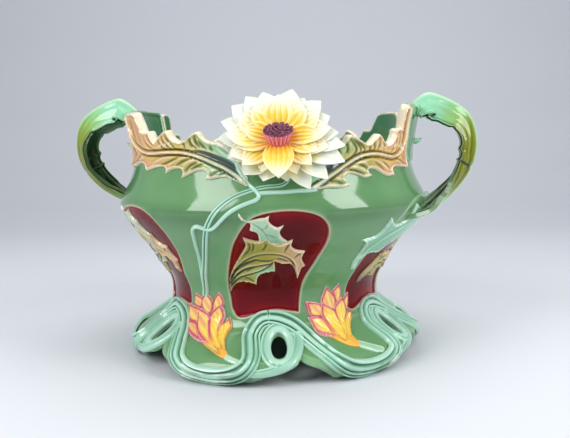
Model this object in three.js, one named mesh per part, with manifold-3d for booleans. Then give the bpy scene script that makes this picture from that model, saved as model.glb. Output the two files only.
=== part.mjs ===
// A glazed earthenware jardiniere with a pierced ribbon foot, two leaf handles and water-lily relief.
// Millimetres, +Z up. The origin is on the ground under the middle of the bowl. The front faces -Y.
// A place on the wall is written [degrees round from the front towards +X, height above the ground].
import * as THREE from 'three';
import { mergeVertices } from 'three/addons/utils/BufferGeometryUtils.js';
import Module from 'manifold-3d';

const wasm = await Module();
wasm.setup();

// ---- Driving dimensions -------------------------------------------------------------------------
const WINDOW_COUNT = 6;            // windows, pillars, foot lobes and pierced curls round the body
const ROUND_STEPS = 36;            // facets round every turned shape
const CLEARANCE = 0.3;             // gap between two pieces that touch

const BOWL_WALL = 8;               // wall of the bowl, measured level
const FLOOR_THICKNESS = 9;
const WAIST_JOINT = 46;            // height at which the bowl is luted to the foot
const FOOT_WALL = 8;
const SHOULDER_RADIUS = 153.5;
const SHOULDER_HEIGHT = 150;
const WAIST_RADIUS = 105;
const WAIST_HEIGHT = 61;
const RIM_RADIUS = 138;
const RIM_HEIGHT = 190;
const FOOT_RADIUS = 144;           // widest part of the foot's flare
const FOOT_WIDEST_HEIGHT = 12;
const REST_RADIUS = 135;           // outer edge of the ring that the foot stands on

const WINDOW_RECESS = 3.4;         // depth of the fields that hold the dark red glaze
const GLAZE_THICKNESS = 1.5;
const LEAF_RELIEF = 1.7;           // how far a window leaf stands out of the wall
const TAIL_RELIEF = 3.2;           // how far a handle's leaf tail stands out of the wall

const RIBBON_HALF_WIDTH = 8;
const RIBBON_HEIGHT = 4.2;
const LOOP_HALF_WIDTH = 5;
const LOOP_HEIGHT = 3.4;
const STEM_HALF_WIDTH = 2.6;
const STEM_HEIGHT = 2.4;

const CREST_THICKNESS = 9;         // rim leaves and tabs above the rim
const CREST_RELIEF = 3.5;          // how far they stand out of the wall below it
const CREST_TOP_RADIUS = 147;
const CREST_RISE = 55;             // rim to the top of the crest

const HANDLE_WIDTH = 26;           // strap across, at its widest
const HANDLE_DEPTH = 14;
const HANDLE_FOLD = 0.45;          // share by which the strap is deeper where the leaf folds over
const HANDLE_REACH = 197;          // axis to the middle of the strap at its widest

const LILY_TILT = 32;              // degrees that a lily head looks up from level
const LILY_RISE = 18;              // rim to the middle of the lily head
const LILY_OFFSET = 15;            // sideways, from the middle of the front
const LILY_RADIUS = 54;
const OUTER_PETALS = 13;
const INNER_PETALS = 11;
const CALYX_SEATING = 1;           // how far the calyx would sink into the rim, before it is seated
const SEED_HEAD_RADIUS = 12;

// ---- Solids -------------------------------------------------------------------------------------
function solidOf(geometry) {
  const bare = geometry.clone();
  bare.deleteAttribute('normal');
  bare.deleteAttribute('uv');
  const merged = mergeVertices(bare, 1e-4);
  const index = merged.index.array;
  const corners = [];
  for (let i = 0; i < index.length; i += 3) {
    const [a, b, c] = [index[i], index[i + 1], index[i + 2]];
    if (a !== b && b !== c && c !== a) corners.push(a, b, c);
  }
  const solid = solidFrom(merged.attributes.position.array, corners);
  return solid.volume() > 0 ? solid : solidFrom(merged.attributes.position.array, corners.reverse());
}

function solidFrom(positions, corners) {
  return new wasm.Manifold(new wasm.Mesh({
    numProp: 3,
    vertProperties: new Float32Array(positions),
    triVerts: new Uint32Array(corners),
  }));
}

function geometryOf(solid) {
  const mesh = solid.getMesh();
  const geometry = new THREE.BufferGeometry();
  geometry.setAttribute('position', new THREE.BufferAttribute(mesh.vertProperties, 3));
  geometry.setIndex(new THREE.BufferAttribute(mesh.triVerts, 1));
  geometry.computeVertexNormals();
  return geometry;
}

// A closed outline of [radius, height] turned round the upright axis.
function turned(outline) {
  const points = [...outline, outline[0]].map(([radius, height]) => new THREE.Vector2(radius, height));
  return solidOf(new THREE.LatheGeometry(points, ROUND_STEPS).rotateX(Math.PI / 2));
}

// ---- The wall's outline -------------------------------------------------------------------------
// A value read from a table of [position, value], straight between two rows.
function readAlong(table, position) {
  const last = table.length - 1;
  if (position <= table[0][0]) return table[0][1];
  if (position >= table[last][0]) return table[last][1];
  const i = table.findIndex(([start]) => start > position);
  const [start, low] = table[i - 1];
  const [end, high] = table[i];
  return low + (high - low) * (position - start) / (end - start);
}

// Every outline is drawn on a wall with these levels. A point keeps its place between the levels
// next to it, wherever the driving heights put them.
const LEVELS = [                   // [height as drawn, height as built]
  [0, 0],
  [12, FOOT_WIDEST_HEIGHT],
  [46, WAIST_JOINT],
  [61, WAIST_HEIGHT],
  [150, SHOULDER_HEIGHT],
  [190, RIM_HEIGHT],
  [245, RIM_HEIGHT + CREST_RISE],
];
const LEVEL_SHIFTS = LEVELS.map(([drawn, built]) => [drawn, built - drawn]);
const level = (drawn) => drawn + readAlong(LEVEL_SHIFTS, drawn);
const onWall = (outline) => outline.map(([degrees, drawn]) => [degrees, level(drawn)]);

const WALL = [                     // [height, radius] of the outer face, from the ground to the rim
  [0, REST_RADIUS],
  [4, REST_RADIUS + 5.5],
  [12, FOOT_RADIUS],
  [19, FOOT_RADIUS - 2.5],
  [27, FOOT_RADIUS - 14],
  [36, FOOT_RADIUS - 27],
  [46, WAIST_RADIUS + 3],
  [61, WAIST_RADIUS],
  [74, WAIST_RADIUS + 2],
  [89, WAIST_RADIUS + 10],
  [107, WAIST_RADIUS + 21],
  [128, SHOULDER_RADIUS - 11],
  [142, SHOULDER_RADIUS - 2],
  [150, SHOULDER_RADIUS],
  [157, SHOULDER_RADIUS - 2.5],
  [168, RIM_RADIUS + 7],
  [190, RIM_RADIUS],
].map(([drawn, radius]) => [level(drawn), radius]);

const wallRadius = (height) => readAlong(WALL, height);

// Millimetres along the wall for one degree, near enough for paths and margins.
const MM_PER_DEGREE = (WAIST_RADIUS + SHOULDER_RADIUS) / 2 * Math.PI / 180;
const BELOW = -20;                 // a height under the ground, where cutters start
const BEYOND = 260;                // a distance past the whole jardiniere
const CORE_INNER = 10;             // cutters leave this radius open round the axis
const SLOPE_SPAN = 4;              // height each side of a point over which the wall's slope is taken

function polar(radius, degrees, height) {
  const angle = THREE.MathUtils.degToRad(degrees);
  return new THREE.Vector3(radius * Math.sin(angle), -radius * Math.cos(angle), height);
}

// The direction straight out of the wall at a height, from the slope of the outline there.
function wallNormal(degrees, height) {
  const rise = wallRadius(height + SLOPE_SPAN) - wallRadius(height - SLOPE_SPAN);
  const slope = rise / (2 * SLOPE_SPAN);
  return polar(1, degrees, -slope).normalize();
}

// Everything inside the wall's outer face, grown by a clearance: it seats what lies on the wall.
function wallCore(grow) {
  const outer = WALL.map(([height, radius]) => [radius + grow, height]);
  return turned([[CORE_INNER, BELOW], [REST_RADIUS + grow, BELOW], ...outer, [CORE_INNER, RIM_HEIGHT]]);
}

// A skin that follows the wall between two distances out from its outer face.
function wallSkin(low, high) {
  const outer = WALL.map(([height, radius]) => [radius + high, height]);
  const inner = WALL.map(([height, radius]) => [radius + low, height]).reverse();
  return turned([...outer, ...inner]);
}

// An outline on the wall, as a straight block that runs outwards through it.
function wallBlock(outline, radiusAt = wallRadius) {
  const middle = outline.reduce((sum, [degrees]) => sum + degrees, 0) / outline.length;
  const shape = new THREE.Shape(outline.map(([degrees, height]) => {
    const across = THREE.MathUtils.degToRad(degrees - middle);
    return new THREE.Vector2(radiusAt(height) * Math.sin(across), height);
  }));
  const inside = 0.6 * WAIST_RADIUS;
  const block = new THREE.ExtrudeGeometry(shape, { depth: BEYOND, steps: 1, bevelEnabled: false });
  block.translate(0, 0, inside).rotateX(Math.PI / 2).rotateZ(THREE.MathUtils.degToRad(middle));
  return solidOf(block);
}

// ---- Bands that bend along a path ---------------------------------------------------------------
const bandSection = [[-1, -0.7], [1, -0.7], [0.85, 0.5], [0, 1], [-0.85, 0.5]];
const stemSection = [[-1, -0.6], [1, -0.6], [0.5, 1], [-0.5, 1]];

// A straight extrusion one unit long is laid along a path: frame(u) gives the middle, the side and
// the outward direction there, and size(u) the half width and the height.
function bentBand({ section = bandSection, steps, frame, size }) {
  const shape = new THREE.Shape(section.map(([x, y]) => new THREE.Vector2(x, y)));
  const band = new THREE.ExtrudeGeometry(shape, { depth: 1, steps, bevelEnabled: false });
  const position = band.attributes.position;
  for (let i = 0; i < position.count; i += 1) {
    const u = position.getZ(i);
    const { middle, side, out } = frame(u);
    const [halfWidth, height] = size(u);
    const point = middle.clone()
      .addScaledVector(side, position.getX(i) * halfWidth)
      .addScaledVector(out, position.getY(i) * height);
    position.setXYZ(i, point.x, point.y, point.z);
  }
  return solidOf(band);
}

// The frame of a path whose points are places on the wall.
function wallFrame(route, trim = 0) {
  const curve = new THREE.CatmullRomCurve3(route.map(([d, h]) => new THREE.Vector3(d * MM_PER_DEGREE, h, 0)));
  const place = (u) => {
    const at = curve.getPointAt(THREE.MathUtils.clamp(trim + u * (1 - 2 * trim), 0, 1));
    return { degrees: at.x / MM_PER_DEGREE, height: at.y };
  };
  const pointAt = (u) => {
    const { degrees, height } = place(u);
    return polar(wallRadius(height), degrees, height);
  };
  return (u) => {
    const { degrees, height } = place(u);
    const ahead = pointAt(Math.min(u + 0.01, 1)).sub(pointAt(Math.max(u - 0.01, 0))).normalize();
    const out = wallNormal(degrees, height);
    const side = ahead.clone().cross(out).normalize();
    return { middle: pointAt(u), side: side.negate(), out };
  };
}

// ---- Materials ----------------------------------------------------------------------------------
function glaze(red, green, blue, roughness = 0.12) {
  const color = new THREE.Color().setRGB(red / 255, green / 255, blue / 255, THREE.SRGBColorSpace);
  return new THREE.MeshStandardMaterial({ color, roughness, metalness: 0 });
}
const GREEN = glaze(104, 152, 100);
const MINT = glaze(160, 218, 182);
const MAROON = glaze(98, 0, 20);
const OLIVE = glaze(168, 172, 84);
const TAN = glaze(212, 168, 120);
const WHITE = glaze(236, 244, 228);
const YELLOW = glaze(250, 214, 84);
const PINK = glaze(208, 74, 92);
const PLUM = glaze(98, 48, 60);
const CORAL = glaze(240, 170, 96);

const jardiniere = new THREE.Group();
function add(name, solid, material, turn = 0) {
  const mesh = new THREE.Mesh(solid.isBufferGeometry ? solid : geometryOf(solid), material);
  mesh.name = name;
  mesh.rotation.z = THREE.MathUtils.degToRad(turn);
  jardiniere.add(mesh);
}
const spacing = 360 / WINDOW_COUNT;
const aroundBody = [...Array(WINDOW_COUNT).keys()].map((i) => i * spacing);
const ends = [['front', 0], ['back', 180]];

// Copies of a cutter, turned to every window position.
function allRound(solid) {
  return aroundBody.map((turn) => solid.rotate([0, 0, turn]));
}

// ---- Bowl with six recessed window fields -------------------------------------------------------
const WINDOW = onWall([
  [-4, 143], [1, 147], [7, 148.5], [14, 147.5], [19.5, 143], [22.2, 135], [22.9, 120], [16.8, 86],
  [15, 55], [2.6, 58.5], [-5.9, 54], [-12.6, 49.5], [-17, 53], [-18.9, 70], [-11.7, 119],
]);

// An outline on the wall moved inwards by a margin, or outwards where the margin is negative.
function shrunk(outline, margin) {
  const flat = outline.map(([degrees, height]) => new THREE.Vector2(degrees * MM_PER_DEGREE, height));
  const inward = THREE.ShapeUtils.area(flat) > 0 ? 1 : -1;
  const count = flat.length;
  return flat.map((point, i) => {
    const before = point.clone().sub(flat[(i + count - 1) % count]).normalize();
    const after = flat[(i + 1) % count].clone().sub(point).normalize();
    const normal = new THREE.Vector2(-before.y - after.y, before.x + after.x).normalize();
    const spread = Math.max(0.5, normal.dot(new THREE.Vector2(-before.y, before.x)));
    const moved = point.clone().addScaledVector(normal, inward * margin / spread);
    return [moved.x / MM_PER_DEGREE, moved.y];
  });
}

function bowlSolid() {
  const outer = WALL.filter(([height]) => height >= WAIST_JOINT).map(([h, r]) => [r, h]);
  const floorTop = WAIST_JOINT + FLOOR_THICKNESS;
  const innerHeights = [RIM_HEIGHT, level(154), level(136), level(107), level(80), floorTop];
  const inner = innerHeights.map((height) => [wallRadius(height) - BOWL_WALL, height]);
  const floor = [[0, floorTop], [0, WAIST_JOINT]];
  let bowl = turned([...outer, ...inner, ...floor]);
  const field = wallBlock(WINDOW).intersect(wallSkin(-WINDOW_RECESS, WINDOW_RECESS));
  for (const cut of allRound(field)) bowl = bowl.subtract(cut);
  return bowl;
}

function windowGlaze() {
  const low = -WINDOW_RECESS + CLEARANCE;
  return wallBlock(shrunk(WINDOW, 2 * CLEARANCE)).intersect(wallSkin(low, low + GLAZE_THICKNESS));
}

// ---- Window leaf: a mint spray over an arching olive leaf ----------------------------------------
const WINDOW_LEAF = onWall([
  [-16.9, 74], [-18, 84], [-12.3, 103], [-8.9, 110], [-5.7, 126], [-3.4, 131], [-5.5, 143],
  [-2, 143.5], [2.2, 145], [6.1, 136], [7.4, 125], [10.4, 122], [14.9, 114], [13.1, 108],
  [16.2, 102], [13.6, 91], [9, 98], [-0.6, 98], [-3.7, 84], [-13.1, 80],
]);

function windowLeaf() {
  const seat = -WINDOW_RECESS + GLAZE_THICKNESS + 2 * CLEARANCE;
  const inWindow = wallBlock(shrunk(WINDOW, 2 * CLEARANCE)).intersect(wallSkin(seat, LEAF_RELIEF));
  return largest(wallBlock(WINDOW_LEAF).intersect(inWindow));
}

// ---- Foot: a flared skirt cut into lobes and pierced at each curl --------------------------------
const NOTCH = onWall([[-6, -5], [-3, 4], [4, 10.5], [10, 17], [13, 23], [17.5, 17], [22, 8], [26, -5]]);
const CURL_HOLE = { degrees: 5, height: level(31.5), across: 7.2, up: 6.6 };
const HOLE_CORNERS = 10;

function footSolid() {
  const outer = WALL.filter(([height]) => height < WAIST_JOINT).map(([h, r]) => [r, h]);
  const top = WAIST_JOINT - CLEARANCE;
  const inner = [36, 23, 12, 0].map(level).map((height) => [wallRadius(height) - FOOT_WALL, height]);
  let foot = turned([...outer, [wallRadius(top), top], [wallRadius(top) - FOOT_WALL, top], ...inner]);
  const hole = [...Array(HOLE_CORNERS).keys()].map((i) => {
    const angle = i * 2 * Math.PI / HOLE_CORNERS;
    const { degrees, height, across, up } = CURL_HOLE;
    return [degrees + across * Math.cos(angle) / MM_PER_DEGREE, height + up * Math.sin(angle)];
  });
  for (const outline of [NOTCH, hole]) {
    for (const cut of allRound(wallBlock(outline))) foot = foot.subtract(cut);
  }
  return foot;
}

// ---- Foot ribbons: each runs from one curl, round the lobe's edge and up into the next curl -----
const RIBBON_ROUTE = onWall([
  [0.5, 51.3], [3.5, 50.8], [7, 49], [12.5, 43.5], [17, 35], [21.5, 26], [26, 17], [31, 10.5],
  [37, 8.6], [43, 8.6], [48.5, 10.5], [53, 15.5], [55, 22.5], [54, 30], [52.6, 37.5], [54.6, 45.5],
  [57.5, 50.3], [60.5, 51.3],
]);
const RIBBON_JOINT = 0.1;          // degrees of gap at each end, where two ribbons meet
const RIBBON_END_WIDTH = 0.8;      // share of the ribbon's width at its two ends
const RIBBON_SWELL = 4;            // how quickly it grows to its full width
const ribbonWidth = (u) => Math.min(1, RIBBON_END_WIDTH + RIBBON_SWELL * Math.min(u, 1 - u));
const LOOP_ROUTE = onWall([[13.2, 38], [12.8, 31], [9.8, 22.5], [5, 17], [-0.6, 13.8]]);

// The space between two upright planes through the axis.
function sector(from, to) {
  const corners = [from, (from + to) / 2, to].map((degrees) => polar(BEYOND, degrees, 0));
  const shape = new THREE.Shape([new THREE.Vector2(0, 0), ...corners]);
  return solidOf(new THREE.ExtrudeGeometry(shape, { depth: BEYOND, bevelEnabled: false }));
}

function ribbonSolid(grow) {
  const band = bentBand({
    steps: 20,
    frame: wallFrame(RIBBON_ROUTE),
    size: (u) => [RIBBON_HALF_WIDTH * ribbonWidth(u) + grow, RIBBON_HEIGHT + grow],
  });
  if (grow > 0) return band;
  const [start, end] = [RIBBON_ROUTE[0][0], RIBBON_ROUTE.at(-1)[0]];
  const between = sector(start + RIBBON_JOINT, end - RIBBON_JOINT);
  return largest(band.subtract(wallCore(CLEARANCE)).intersect(between));
}

function curlLoop() {
  const band = bentBand({
    steps: 7,
    frame: wallFrame(LOOP_ROUTE),
    size: () => [LOOP_HALF_WIDTH, LOOP_HEIGHT],
  });
  const ribbon = ribbonSolid(CLEARANCE);
  const loop = band.subtract(wallCore(CLEARANCE)).subtract(ribbon)
    .subtract(ribbon.rotate([0, 0, -spacing]));
  return largest(loop);
}

function largest(solid) {
  return solid.decompose().sort((a, b) => b.volume() - a.volume())[0];
}

// ---- Buds on the four pillars beside the front and back windows ---------------------------------
function petalOnWall(base, tip, halfWidth, height) {
  const bend = [(base[0] + tip[0]) / 2, (base[1] + tip[1]) / 2];
  return bentBand({
    section: [[-1, -0.6], [1, -0.6], [0, 1]],
    steps: 4,
    frame: wallFrame([base, bend, tip]),
    size: (u) => [halfWidth * (0.28 + 0.72 * Math.sin(Math.PI * Math.min(1, 0.12 + u * 0.86))),
      height * (1 - 0.45 * u)],
  });
}

const BUD_PETALS = [               // tip [degrees, height] from the bud's middle, half width, height
  [-11.5, 11, 4.8, 5], [-7.2, 22, 5, 5.6], [-1, 25, 6, 7.6], [6.5, 24, 5, 5.6], [12.5, 7, 4.8, 5],
  [-9, -2, 4.6, 4.4],
];

const BUD_BASE = [6, -22];          // where the petals spring from, from the bud's middle

function budSolid(degrees, height) {
  const base = [degrees + BUD_BASE[0], height + BUD_BASE[1]];
  let bud = null;
  for (const [across, up, halfWidth, relief] of BUD_PETALS) {
    const petal = petalOnWall(base, [degrees + across, height + up], halfWidth, relief);
    bud = bud ? bud.add(petal) : petal;
  }
  return largest(bud.subtract(wallCore(CLEARANCE)).subtract(ribbonsNear(degrees)));
}

function ribbonsNear(degrees) {
  const turn = Math.floor(degrees / spacing) * spacing;
  return ribbonSolid(CLEARANCE).rotate([0, 0, turn]);
}

// ---- Stems that fall from the lily to the bud on its left ---------------------------------------
const STEM_MAIN = onWall([
  [-2.6, 174], [-7, 172], [-11.5, 165], [-14.7, 156], [-17.1, 146], [-19.6, 134], [-22.4, 122],
  [-26, 107], [-30, 86], [-31.4, 72],
]);
const STEM_LOOP = onWall([
  [1.5, 169], [-4.6, 163], [-8.5, 157], [-12, 148], [-14.6, 141], [-18.3, 138.4], [-22.4, 140.5],
  [-25, 136], [-25.8, 127], [-28, 112], [-30.8, 95], [-32.4, 84],
]);
const STEM_RIGHT = onWall([[-1.2, 167], [5, 164], [11, 163.5], [18, 164], [22, 164.5]]);

function stemSolid() {
  const strand = (route, steps, halfWidth) => bentBand({
    section: stemSection,
    steps,
    frame: wallFrame(route),
    size: () => [halfWidth, STEM_HEIGHT],
  });
  return strand(STEM_MAIN, 11, STEM_HALF_WIDTH * 1.15)
    .add(strand(STEM_LOOP, 15, STEM_HALF_WIDTH))
    .add(strand(STEM_RIGHT, 5, STEM_HALF_WIDTH))
    .subtract(wallCore(CLEARANCE));
}

// ---- Handles: hollow-faced leaf straps from the end tabs to the shoulder ------------------------
const HANDLE_ROUTE = [             // [degrees, radius, height] of the right handle
  [90, CREST_TOP_RADIUS - 6, 227],
  [90, CREST_TOP_RADIUS + 5, 242],
  [90, HANDLE_REACH - 31, 244],
  [89.5, HANDLE_REACH - 16, 238],
  [89, HANDLE_REACH - 5, 222],
  [88.5, HANDLE_REACH, 203],
  [88, HANDLE_REACH - 1, 187],
  [87, HANDLE_REACH - 5, 172],
  [84.5, HANDLE_REACH - 14, 160],
  [80, HANDLE_REACH - 25, 151],
  [75, SHOULDER_RADIUS + 7.5, 146],
  [70, SHOULDER_RADIUS + 1.5, 143],
].map(([degrees, radius, drawn]) => polar(radius, degrees, level(drawn)));
const FOLD_END = 0.6;              // share of the strap's length at which the fold has died away
const strapFold = (u) => 1 + HANDLE_FOLD * Math.sin(Math.PI * Math.min(1, u / FOLD_END)) ** 2;
const strapSection = [[-1, -0.5], [-0.8, -0.9], [0, -0.15], [0.8, -0.9], [1, -0.5], [0.55, 0.6],
  [0, 1], [-0.55, 0.6]];

function handleSolid() {
  const curve = new THREE.CatmullRomCurve3(HANDLE_ROUTE);
  const hub = new THREE.Vector3(HANDLE_REACH - 42, 0, level(195));
  const strap = bentBand({
    section: strapSection,
    steps: 18,
    frame: (u) => {
      const middle = curve.getPointAt(u);
      const ahead = curve.getTangentAt(u);
      const away = middle.clone().sub(hub).setY(0).normalize();
      const side = ahead.clone().cross(away).normalize();
      return { middle, side, out: side.clone().cross(ahead).normalize() };
    },
    size: (u) => [HANDLE_WIDTH / 2 * (1 - 0.25 * Math.abs(2 * u - 1)), HANDLE_DEPTH / 2 * strapFold(u)],
  });
  return largest(strap.subtract(wallCore(CLEARANCE)).subtract(crestSkin(-CLEARANCE)));
}

const HANDLE_TAIL = onWall([
  [79.7, 150.5], [68, 150], [57, 147], [51, 145], [45.2, 141], [43.5, 135], [41.4, 131], [37.9, 123],
  [39.2, 110], [39.9, 96], [44, 104], [50.2, 108], [48.6, 116], [50, 122], [55.5, 124], [57, 131],
  [69.4, 133], [77, 139],
]);

function handleTail(handle) {
  const tail = wallBlock(HANDLE_TAIL).intersect(wallSkin(CLEARANCE, TAIL_RELIEF));
  return largest(tail.subtract(handle.translate([0, 0, -CLEARANCE * 2])).subtract(handle)
    .subtract(handle.translate([0, -CLEARANCE * 2, 0])));
}

// ---- Rim leaves and end tabs: a leafy crest that stands on the rim ------------------------------
const CREST = [                    // [height, radius] that the crest follows, up past the rim
  [level(140), wallRadius(level(140))],
  ...WALL.filter(([height]) => height >= SHOULDER_HEIGHT),
  [level(212), RIM_RADIUS + 1],
  [level(230), RIM_RADIUS + 4],
  [level(245), CREST_TOP_RADIUS],
];
const crestRadius = (height) => readAlong(CREST, height);

// The crest's own skin: on the wall's outer face below the rim, and a free plate above it.
function crestSkin(shrink) {
  const seat = RIM_HEIGHT + CLEARANCE + shrink;
  const plateInner = (radius) => radius + CREST_RELIEF - CREST_THICKNESS + shrink;
  const wallOuter = (radius) => radius + CLEARANCE + shrink;
  const outer = CREST.map(([height, radius]) => [radius + CREST_RELIEF - shrink, height]);
  const above = CREST.filter(([height]) => height > seat).map(([height, radius]) => [plateInner(radius), height]);
  const below = CREST.filter(([height]) => height <= RIM_HEIGHT)
    .map(([height, radius]) => [wallOuter(radius), height]);
  const step = [[plateInner(crestRadius(seat)), seat], [wallOuter(RIM_RADIUS), seat]];
  return turned([...outer, ...above.reverse(), ...step, ...below.reverse()]);
}

const LEFT_LEAF_END = -74.5;       // degrees at which the rim leaves meet the end tabs
const RIGHT_LEAF_END = 66;
const CREST_JOINT = 0.13;          // degrees of gap there
const LEFT_RIM_LEAF = onWall([
  [-7, 176], [-13, 175], [-19, 174], [-29, 175.5], [-38, 179.5], [-51, 180], [-65, 184], [-76, 188],
  [-76, 232], [-69, 224], [-62, 212], [-56, 213.5], [-48, 204.5], [-38, 215], [-32, 206.5],
  [-25, 214], [-17, 207.5], [-10, 200],
]);
const RIGHT_RIM_LEAF = onWall([
  [16, 170], [22, 170], [28, 170.5], [39, 178.5], [52, 178.5], [68, 185], [68, 242], [61.5, 231],
  [57, 220], [51, 213], [45, 214], [38, 206.5], [32, 213], [25, 206], [18, 200],
]);
const RIM_TAB = onWall([
  [64, 184], [78, 186], [92, 186], [108, 187], [108, 229], [100, 239], [92, 240.5],
  [80, 240.5], [72, 239], [64, 240.5],
]);

function crestPiece(outline, from, to) {
  const piece = wallBlock(outline, crestRadius).intersect(crestSkin(0));
  return largest(piece.intersect(sector(from, to)));
}

// ---- Water-lily heads ---------------------------------------------------------------------------
// A ring of pointed petals: a turned dish whose edge is drawn in between the petals and whose
// surface is cupped along each of them.
const DRAWN_IN = [0, 0.07, 0.27];   // share that the edge is drawn in: at a tip, beside it, between two
const PETAL_LIFT = 2.4;            // how far the edges of a petal rise over its middle

function petalRing({ petals, radius, base, low, rise, thick, phase }) {
  const perPetal = 4;
  const dish = [[0, low], [base, low], [radius, low + rise], [radius, low + rise + thick],
    [base, low + thick * 1.6], [0, low + thick * 1.6]];
  const points = dish.map(([r, h]) => new THREE.Vector2(r, h));
  const ring = new THREE.LatheGeometry(points, petals * perPetal).rotateX(Math.PI / 2);
  const position = ring.attributes.position;
  for (let i = 0; i < position.count; i += 1) {
    const point = new THREE.Vector3().fromBufferAttribute(position, i);
    const around = Math.atan2(point.x, -point.y) / (2 * Math.PI) * petals;
    const beside = Math.abs(around - Math.round(around)) * 2;
    const out = THREE.MathUtils.clamp((Math.hypot(point.x, point.y) - base) / (radius - base), 0, 1);
    const drawnIn = 1 - out * DRAWN_IN[Math.round(beside * 2)];
    const lift = out * PETAL_LIFT * beside;
    position.setXYZ(i, point.x * drawnIn, point.y * drawnIn, point.z + lift);
  }
  return solidOf(ring).rotate([0, 0, phase * 360 / petals]);
}

function disc(radius, low, high) {
  return turned([[0, low], [radius, low], [radius, high], [0, high]]);
}

const OUTER_TOP = 6;               // heights up the lily's axis
const INNER_TOP = 11;
const STAMEN_TOP = 16;
const SEED_TOP = 20;

// The petals spring from a calyx, whose underside sits on the rim.
function outerPetals() {
  const top = OUTER_TOP - CLEARANCE;
  const reach = LILY_RISE + CALYX_SEATING;
  const calyx = turned([[0, -reach], [0.63 * reach, -reach], [reach, -5], [0.79 * reach, top], [0, top]]);
  return petalRing({
    petals: OUTER_PETALS, radius: LILY_RADIUS, base: 17, low: -3, rise: 2, thick: 4, phase: 0.5,
  }).add(calyx);
}

function innerPetals() {
  return petalRing({
    petals: INNER_PETALS, radius: 0.72 * LILY_RADIUS, base: 15, low: OUTER_TOP, rise: 9, thick: 3, phase: 0,
  });
}

// The rim of the bowl with the two rim leaves beside the lily, grown by the clearance.
function lilySeat() {
  const grown = [[RIM_HEIGHT, RIM_HEIGHT + CLEARANCE], ...[150, 107].map(level).map((height) => [height, height])];
  const outer = grown.map(([at, height]) => [wallRadius(at) + CLEARANCE, height]);
  const inner = grown.map(([at, height]) => [wallRadius(at) - BOWL_WALL - CLEARANCE, height]).reverse();
  const leaves = [LEFT_RIM_LEAF, RIGHT_RIM_LEAF].map((outline) => (
    wallBlock(shrunk(outline, -2 * CLEARANCE), crestRadius).intersect(crestSkin(-CLEARANCE))));
  const well = disc(0.8 * RIM_RADIUS, 2 * BELOW, 2 * RIM_HEIGHT);
  return turned([...outer, ...inner]).add(wallCore(CLEARANCE).subtract(well)).add(leaves[0]).add(leaves[1]);
}

function placedLily(solid) {
  return solid.rotate([90 - LILY_TILT, 0, 0]).translate([LILY_OFFSET, -RIM_RADIUS, RIM_HEIGHT + LILY_RISE]);
}

add('bowl', bowlSolid(), GREEN);
add('foot_skirt', footSolid(), GREEN);

const glazeGeometry = geometryOf(windowGlaze());
const leaf = windowLeaf();
const leafGeometry = geometryOf(leaf);
// The handle's leaf tail crosses the corner of the window before it, so the leaf there stops short.
const tailTurn = spacing;
const shortLeafGeometry = geometryOf(largest(leaf.subtract(
  wallBlock(shrunk(HANDLE_TAIL, -3 * CLEARANCE)).rotate([0, 0, -tailTurn]))));
const ribbonGeometry = geometryOf(ribbonSolid(0));
const loopGeometry = geometryOf(curlLoop());
aroundBody.forEach((turn, i) => {
  add(`window_glaze_${i + 1}`, glazeGeometry, MAROON, turn);
  add(`window_leaf_${i + 1}`, turn % 180 === tailTurn ? shortLeafGeometry : leafGeometry, OLIVE, turn);
  add(`foot_ribbon_${i + 1}`, ribbonGeometry, MINT, turn);
  add(`curl_loop_${i + 1}`, loopGeometry, MINT, turn);
});

const budLeft = geometryOf(budSolid(-30.5, level(44)));
const budRight = geometryOf(budSolid(33, level(52)));
const stems = geometryOf(stemSolid());
const handle = handleSolid();
const handleGeometry = geometryOf(handle);
const tailGeometry = geometryOf(handleTail(handle));
const tabEnd = 180 + LEFT_LEAF_END;
const tabGeometry = geometryOf(crestPiece(RIM_TAB, RIGHT_LEAF_END + CREST_JOINT, tabEnd - CREST_JOINT));
const leftLeafGeometry = geometryOf(crestPiece(LEFT_RIM_LEAF, LEFT_LEAF_END, -6));
const rightLeafGeometry = geometryOf(crestPiece(RIGHT_RIM_LEAF, 15, RIGHT_LEAF_END));
const outerGeometry = geometryOf(largest(placedLily(outerPetals()).subtract(lilySeat())));
const innerGeometry = geometryOf(placedLily(innerPetals()));
const fringeGeometry = geometryOf(placedLily(disc(SEED_HEAD_RADIUS, INNER_TOP, STAMEN_TOP)));
const seedGeometry = geometryOf(placedLily(disc(SEED_HEAD_RADIUS - 2, STAMEN_TOP + CLEARANCE, SEED_TOP)));

for (const [end, turn] of ends) {
  add(`bud_${end}_left`, budLeft, CORAL, turn);
  add(`bud_${end}_right`, budRight, CORAL, turn);
  add(`stems_${end}`, stems, MINT, turn);
  add(`rim_leaf_${end}_left`, leftLeafGeometry, TAN, turn);
  add(`rim_leaf_${end}_right`, rightLeafGeometry, TAN, turn);
  add(`lily_outer_petals_${end}`, outerGeometry, WHITE, turn);
  add(`lily_inner_petals_${end}`, innerGeometry, YELLOW, turn);
  add(`lily_stamens_${end}`, fringeGeometry, PINK, turn);
  add(`lily_seed_head_${end}`, seedGeometry, PLUM, turn);
}
for (const [end, turn] of [['right', 0], ['left', 180]]) {
  add(`handle_${end}`, handleGeometry, MINT, turn);
  add(`handle_tail_${end}`, tailGeometry, MINT, turn);
  add(`rim_tab_${end}`, tabGeometry, OLIVE, turn);
}

export default jardiniere;
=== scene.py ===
# %% [markdown]
# # A relief-moulded jardiniere
# Glossy coloured glazes lie over a cast body of white earthenware: a waisted bowl with six recessed
# panels, on a foot whose edge is one long ribbon. A stiff solid model gives every piece its place.
# Here each piece is made again with its fine relief, in that same place.

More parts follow.
